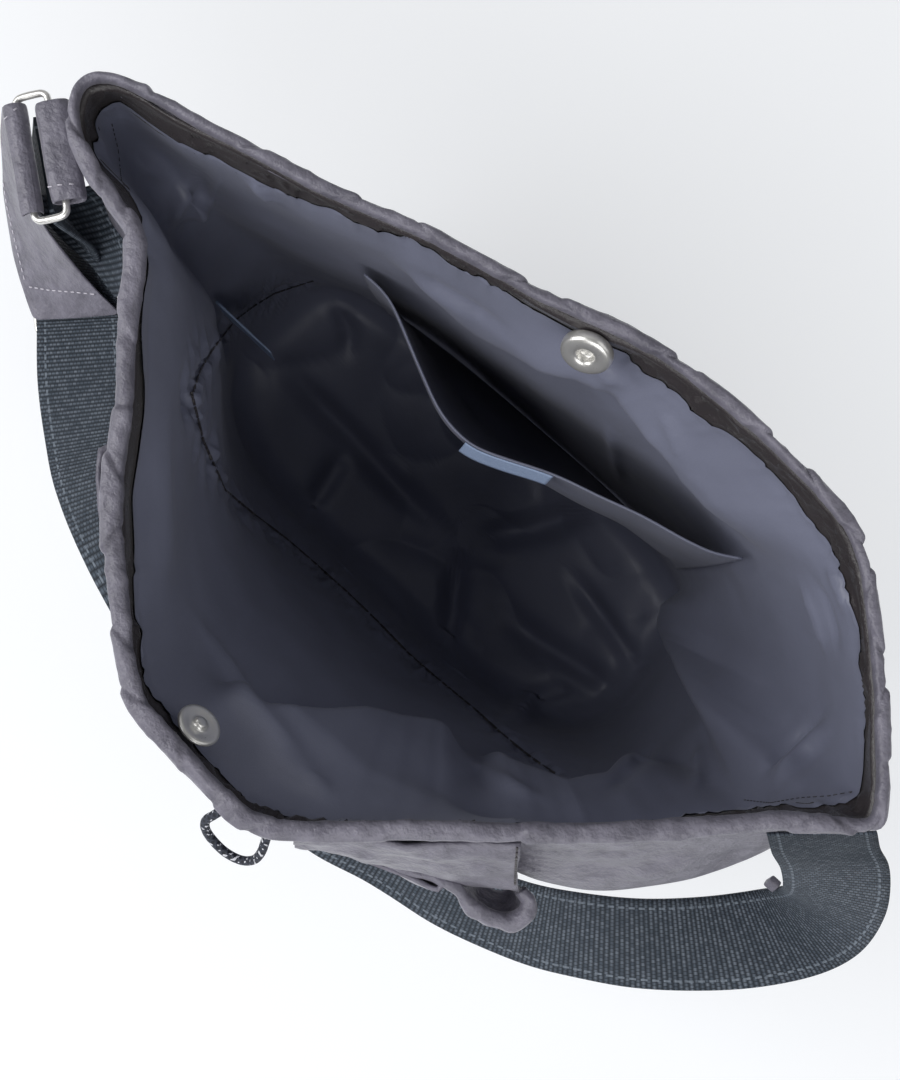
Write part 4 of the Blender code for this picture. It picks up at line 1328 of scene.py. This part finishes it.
dashes(
    "bottom_seam_stitches", seam_lines, 0.0030, (0.0029, 0.0011, 0.0005), slot="lining_satin"
)
front_seam = stitched("front_bulge", (517, 849), (516, 862), (515, 886))
dashes(
    "front_seam_stitches", [front_seam], 0.0022, (0.0021, 0.0008, 0.0005), slot="outer_nylon"
)
print("stitch lines:", [len(n) for n in tab_lines + hem_lines + gather_lines])

# %% [markdown]
# ## Finishes
#
# A small class wraps one socket of a material, so that sums on textures read as sums.

# %% Shader sums


class Shade:
    """A socket of a material. Python's signs on it add the Math nodes."""

    def __init__(self, tree, socket=None):
        self.tree = tree
        self.socket = socket

    def node(self, kind, settings=None, sockets=None, output=0):
        """Adds a node: its settings first, then values or links for its sockets."""
        made = self.tree.nodes.new(kind)
        for name, value in (settings or {}).items():
            if name == "stops":
                stops = made.color_ramp.elements
                while len(stops) < len(value):
                    stops.new(0.5)
                for stop, (at, colour) in zip(stops, value):
                    stop.position = at
                    stop.color = (*colour, 1.0)
            else:
                setattr(made, name, value)
        for name, value in (sockets or {}).items():
            if isinstance(value, Shade):
                self.tree.links.new(value.socket, made.inputs[name])
            else:
                made.inputs[name].default_value = value
        return Shade(self.tree, made.outputs[output])

    def maths(self, operation, *terms):
        return self.node("ShaderNodeMath", {"operation": operation}, dict(enumerate(terms)))

    def __add__(self, other):
        return self.maths("ADD", self, other)

    __radd__ = __add__

    def __mul__(self, other):
        return self.maths("MULTIPLY", self, other)

    __rmul__ = __mul__

    def __sub__(self, other):
        return self.maths("SUBTRACT", self, other)

    def __rsub__(self, other):
        return self.maths("SUBTRACT", other, self)

    def mix(self, low, high):
        """A colour between two, by this value."""
        colours = [c if isinstance(c, Shade) else (*c, 1.0) for c in (low, high)]
        return self.node(
            "ShaderNodeMix", {"data_type": "RGBA"}, {0: self, 6: colours[0], 7: colours[1]}, output=2
        )

    def noise(self, where, scale, detail=2.0, rough=0.5):
        return self.node(
            "ShaderNodeTexNoise",
            {"noise_dimensions": "3D"},
            {"Vector": where, "Scale": scale, "Detail": detail, "Roughness": rough},
        )


def new_finish(name):
    """A material, its canvas for sums, and its main shader."""
    material = bpy.data.materials.new(name)
    material.use_nodes = True
    tree = material.node_tree
    return material, Shade(tree), tree.nodes["Principled BSDF"]


def link(sheet, socket, target):
    sheet.tree.links.new(socket.socket, target)


def bump(sheet, height, strength, distance, shader):
    """Turns a height into the shader's normal."""
    made = sheet.node(
        "ShaderNodeBump", None, {"Height": height, "Strength": strength, "Distance": distance}
    )
    link(sheet, made, shader.inputs["Normal"])


def object_place(sheet):
    """The Object coordinates, which ride with the piece."""
    return sheet.node("ShaderNodeTexCoord", output=3)


def wear(piece, material):
    """Gives a piece its one material."""
    piece.data.materials.clear()
    piece.data.materials.append(material)


# %% [markdown]
# The outer cloth is a matt nylon taffeta, dyed grey with a violet cast. Its fine crinkles are painted
# into the colour as small pale and dark patches, a painted highlight and shade, and the same noise
# steers the bump.

# %% Nylon
def nylon():
    """Mauve-grey nylon: a soft sheen, a fine grain, cloudy unevenness and painted light and shade on
    its crinkles.
    """
    material, sheet, shader = new_finish("outer_nylon")
    where = object_place(sheet)
    cloud = sheet.noise(where, 22.0, 3.0)
    grain = sheet.noise(where, 1500.0, 2.0, 0.6)
    thread = sheet.noise(where, 620.0, 2.0)
    crinkle = sheet.noise(where, 130.0, 4.0, 0.55)
    # The crinkle term is painted light and shade: pale and dark patches that follow the bump. Cloud
    # and grain are uneven dye.
    tone_and_crinkle_shade = cloud * 0.4 + grain * 0.3 + (crinkle - 0.5) * 1.4 + 0.15
    colour = tone_and_crinkle_shade.mix((0.080, 0.077, 0.100), (0.215, 0.205, 0.255))
    link(sheet, colour, shader.inputs["Base Color"])
    link(sheet, grain * 0.2 + 0.30, shader.inputs["Roughness"])
    bump(sheet, grain * 0.12 + thread * 0.12 + crinkle * 1.6, 0.75, 0.0018, shader)
    shader.inputs["Sheen Weight"].default_value = 0.10
    shader.inputs["Sheen Roughness"].default_value = 0.45
    return material


# %% [markdown]
# Lining and band are the same polyester satin in two dyes: slate blue and nearly black. A
# satin shows most in its soft sheen, so roughness and a broad bump do more than colour.

# %% Satins
def satin(name, dark, light, rough, grain_bump):
    """A thin satin: fine threads, small puckers and a smooth gloss."""
    material, sheet, shader = new_finish(name)
    where = object_place(sheet)
    cloud = sheet.noise(where, 30.0, 3.0)
    grain = sheet.noise(where, 1900.0, 2.0, 0.6)
    crinkle = sheet.noise(where, 120.0, 3.0)
    link(sheet, (cloud * 0.6 + grain * 0.4).mix(dark, light), shader.inputs["Base Color"])
    link(sheet, crinkle * 0.16 + rough, shader.inputs["Roughness"])
    bump(sheet, grain * 0.25 + crinkle * 0.75, grain_bump, 0.0007, shader)
    shader.inputs["Sheen Weight"].default_value = 0.08
    return material


# %% [markdown]
# The strap is woven in coarse ribs across its length, with a stitch line near each edge. A
# brick pattern in the strap's own flat coordinates stands in for the over and under of the
# yarns, because it follows the strap through its bends. Its nearly black mortar and the rib
# stripes are painted shade in the grooves between the yarns.

# %% Webbing
def webbing():
    """Ribbed navy webbing with pale flecks, a thread line inside each edge and painted shade between
    its ribs.
    """
    material, sheet, shader = new_finish("webbing")
    flat = sheet.node("ShaderNodeUVMap", {"uv_map": "UVMap"})
    parts = sheet.tree.nodes.new("ShaderNodeSeparateXYZ")
    sheet.tree.links.new(flat.socket, parts.inputs[0])
    across_, along_ = Shade(sheet.tree, parts.outputs[0]), Shade(sheet.tree, parts.outputs[1])
    weave = sheet.tree.nodes.new("ShaderNodeTexBrick")
    weave.offset = 0.5
    for socket, value in (
        ("Color1", (0.060, 0.080, 0.108, 1.0)),
        ("Color2", (0.165, 0.195, 0.240, 1.0)),
        # the nearly black mortar is painted shade in the gaps between yarns
        ("Mortar", (0.006, 0.009, 0.014, 1.0)),
        ("Scale", 1000.0),
        ("Mortar Size", 0.17),
        ("Mortar Smooth", 0.6),
        ("Bias", -0.15),
        ("Brick Width", 1.60),
        ("Row Height", 1.95),
    ):
        weave.inputs[socket].default_value = value
    sheet.tree.links.new(flat.socket, weave.inputs["Vector"])
    yarn, gap = Shade(sheet.tree, weave.outputs[0]), Shade(sheet.tree, weave.outputs[1])
    edge = sheet.maths("ABSOLUTE", sheet.maths("ABSOLUTE", across_ - STRAP_WIDTH / 2) - 0.0152)
    line = sheet.maths("LESS_THAN", edge, 0.00045)
    dash = sheet.maths("GREATER_THAN", sheet.maths("SINE", along_ * (2 * math.pi / 0.0042)), -0.3)
    cloud = sheet.noise(object_place(sheet), 35.0, 2.0)
    rib = sheet.maths("SINE", along_ * (2 * math.pi / 0.00195) + math.pi / 2) * 0.5 + 0.5
    # Mixing towards near black by the rib paints the shade in the grooves between yarn rows; the
    # cloud adds uneven dye.
    shaded = (cloud * 0.30 + rib * 0.72).mix(yarn, (0.012, 0.019, 0.030))
    lined = (line * dash).mix(shaded, (0.16, 0.19, 0.23))
    link(sheet, lined, shader.inputs["Base Color"])
    shader.inputs["Roughness"].default_value = 0.70
    bump(sheet, 1.0 - gap - rib * 0.8, 0.8, 0.0007, shader)
    return material


# %% [markdown]
# The small parts each have a plain finish: a dark braided cord with white flecks, a pale
# woven label, a light thread, and nickel plate on the ring, slide and snap. After them the
# pieces are handed their finishes, one loop for all.

# %% Cord, label, thread and metal
def braid():
    """Dark braid with white flecks that wind round it, and painted shade between its strands."""
    material, sheet, shader = new_finish("cord_braid")
    flat = sheet.node("ShaderNodeUVMap", {"uv_map": "UVMap"})
    parts = sheet.tree.nodes.new("ShaderNodeSeparateXYZ")
    sheet.tree.links.new(flat.socket, parts.inputs[0])
    round_, along_ = Shade(sheet.tree, parts.outputs[0]), Shade(sheet.tree, parts.outputs[1])
    turns = round_ * (2 * math.pi / (math.pi * CORD_DIAMETER))
    one = sheet.maths("SINE", turns * 3 + along_ * 2400.0)
    two = sheet.maths("SINE", turns * 3 - along_ * 2400.0)
    strand = sheet.maths("MAXIMUM", one, two)
    fleck = sheet.maths("GREATER_THAN", sheet.noise(flat, 420.0, 1.0) + one * 0.12, 0.66)
    # The strand pattern makes the crests lighter and the hollows between strands darker: painted
    # shade.
    dark = (strand * 0.5 + 0.5).mix((0.006, 0.008, 0.014), (0.030, 0.036, 0.055))
    link(sheet, fleck.mix(dark, (0.62, 0.63, 0.68)), shader.inputs["Base Color"])
    shader.inputs["Roughness"].default_value = 0.65
    bump(sheet, strand, 0.6, 0.0004, shader)
    return material


def label_cloth():
    """Pale blue woven label, left plain."""
    material, sheet, shader = new_finish("label_cloth")
    where = object_place(sheet)
    weave = sheet.noise(where, 1400.0, 2.0)
    link(sheet, weave.mix((0.22, 0.30, 0.48), (0.40, 0.49, 0.66)), shader.inputs["Base Color"])
    shader.inputs["Roughness"].default_value = 0.6
    bump(sheet, weave, 0.3, 0.0004, shader)
    return material


def thread():
    """Pale thread with a fine twist."""
    material, sheet, shader = new_finish("pale_thread")
    twist = sheet.noise(object_place(sheet), 1800.0, 1.0)
    link(sheet, twist.mix((0.42, 0.40, 0.46), (0.70, 0.68, 0.74)), shader.inputs["Base Color"])
    shader.inputs["Roughness"].default_value = 0.6
    return material


def nickel():
    """Satin nickel plate with fine brushing and slight wear."""
    material, sheet, shader = new_finish("satin_nickel")
    where = object_place(sheet)
    brushed = sheet.noise(where, 900.0, 3.0, 0.7)
    cloud = sheet.noise(where, 160.0, 2.0)
    link(sheet, cloud.mix((0.66, 0.65, 0.63), (0.84, 0.83, 0.80)), shader.inputs["Base Color"])
    link(sheet, brushed * 0.18 + 0.22, shader.inputs["Roughness"])
    shader.inputs["Metallic"].default_value = 0.75
    bump(sheet, brushed, 0.08, 0.0002, shader)
    return material


LINING_SATIN = satin("lining_satin", (0.128, 0.135, 0.185), (0.205, 0.217, 0.297), 0.33, 0.40)
FACING_SATIN = satin("facing_satin", (0.013, 0.011, 0.012), (0.055, 0.047, 0.051), 0.18, 1.00)
NYLON_PIECES = ("padded_shell", "rim_roll", "front_pocket_cloth", "front_bulge")
NYLON_TABS = ("side_tab_cloth", "strap_end_cloth", "keeper_tab")
NYLON_CORNER = ("pocket_corner_roll", "pocket_corner_pleat")
SEAM_THREADS = ("pocket_stitches", "front_seam_stitches", "bottom_seam_stitches")
for material, names in (
    (nylon(), NYLON_PIECES + NYLON_TABS + NYLON_CORNER),
    (FACING_SATIN, ("satin_facing",) + SEAM_THREADS),
    (LINING_SATIN, ("satin_lining", "inner_pocket_cloth")),
    (label_cloth(), ("woven_label", "folded_tag")),
    (webbing(), ("webbing_strap", "strap_inner_ply")),
    (braid(), ("cord_loop",)),
    (nickel(), ("bent_ring", "bent_slide", "snap_socket_disc", "snap_stud_disc")),
    (thread(), ("tab_stitches",)),
):
    for name in names:
        wear(PIECES[name], material)
print("finished pieces:", len(PIECES))

# %% [markdown]
# ## Floor and light
#
# A pale floor, a faint even sky and four soft lamps round the bag give the photograph's
# plain studio light. The lamps at the picture's left and bottom are the strong ones. The
# deep inside is dark because little of that light reaches it.

# %% Floor and lights
floor_mesh = bpy.data.meshes.new("floor")
floor_bm = bmesh.new()
bmesh.ops.create_grid(floor_bm, x_segments=1, y_segments=1, size=6.0)
floor_bm.to_mesh(floor_mesh)
floor_bm.free()
floor = bpy.data.objects.new("floor", floor_mesh)
bpy.context.collection.objects.link(floor)
floor_finish, _, floor_shader = new_finish("pale_floor")
for socket, value in (
    ("Base Color", (0.52, 0.53, 0.55, 1.0)),
    ("Roughness", 0.9),
    ("Emission Color", (0.97, 0.985, 1.0, 1.0)),
    ("Emission Strength", 0.50),
):
    floor_shader.inputs[socket].default_value = value
wear(floor, floor_finish)

world = bpy.data.worlds.new("studio")
world.use_nodes = True
world.node_tree.nodes["Background"].inputs["Color"].default_value = (0.95, 0.97, 1.0, 1.0)
world.node_tree.nodes["Background"].inputs["Strength"].default_value = 0.15
bpy.context.scene.world = world
bpy.context.scene.view_settings.view_transform = "Standard"


def softbox(name, way, watts, height=0.85, far=1.15, size=1.2):
    """A square lamp at a compass direction that looks at the bag."""
    data = bpy.data.lights.new(name, "AREA")
    data.shape = "SQUARE"
    data.size = size
    data.energy = watts
    made = bpy.data.objects.new(name, data)
    bpy.context.collection.objects.link(made)
    made.location = way.normalized() * far + Vector((0, 0, 0.28 + height))
    aim = Vector((0, 0, 0.24)) - made.location
    made.rotation_euler = aim.to_track_quat("-Z", "Y").to_euler()


LEFTWARD = Vector((-across.x, -across.y, 0))
UPWARD = Vector((up.x, up.y, 0))
WATTS = {"left": 17.0, "top": 1.5, "right": 3.5, "bottom": 12.0}
WAYS = {"left": LEFTWARD, "top": UPWARD, "right": -LEFTWARD, "bottom": -UPWARD}
for name, watts in WATTS.items():
    softbox(name, WAYS[name], watts)
print("softboxes, in watts:", WATTS)

# %% Finish
import json
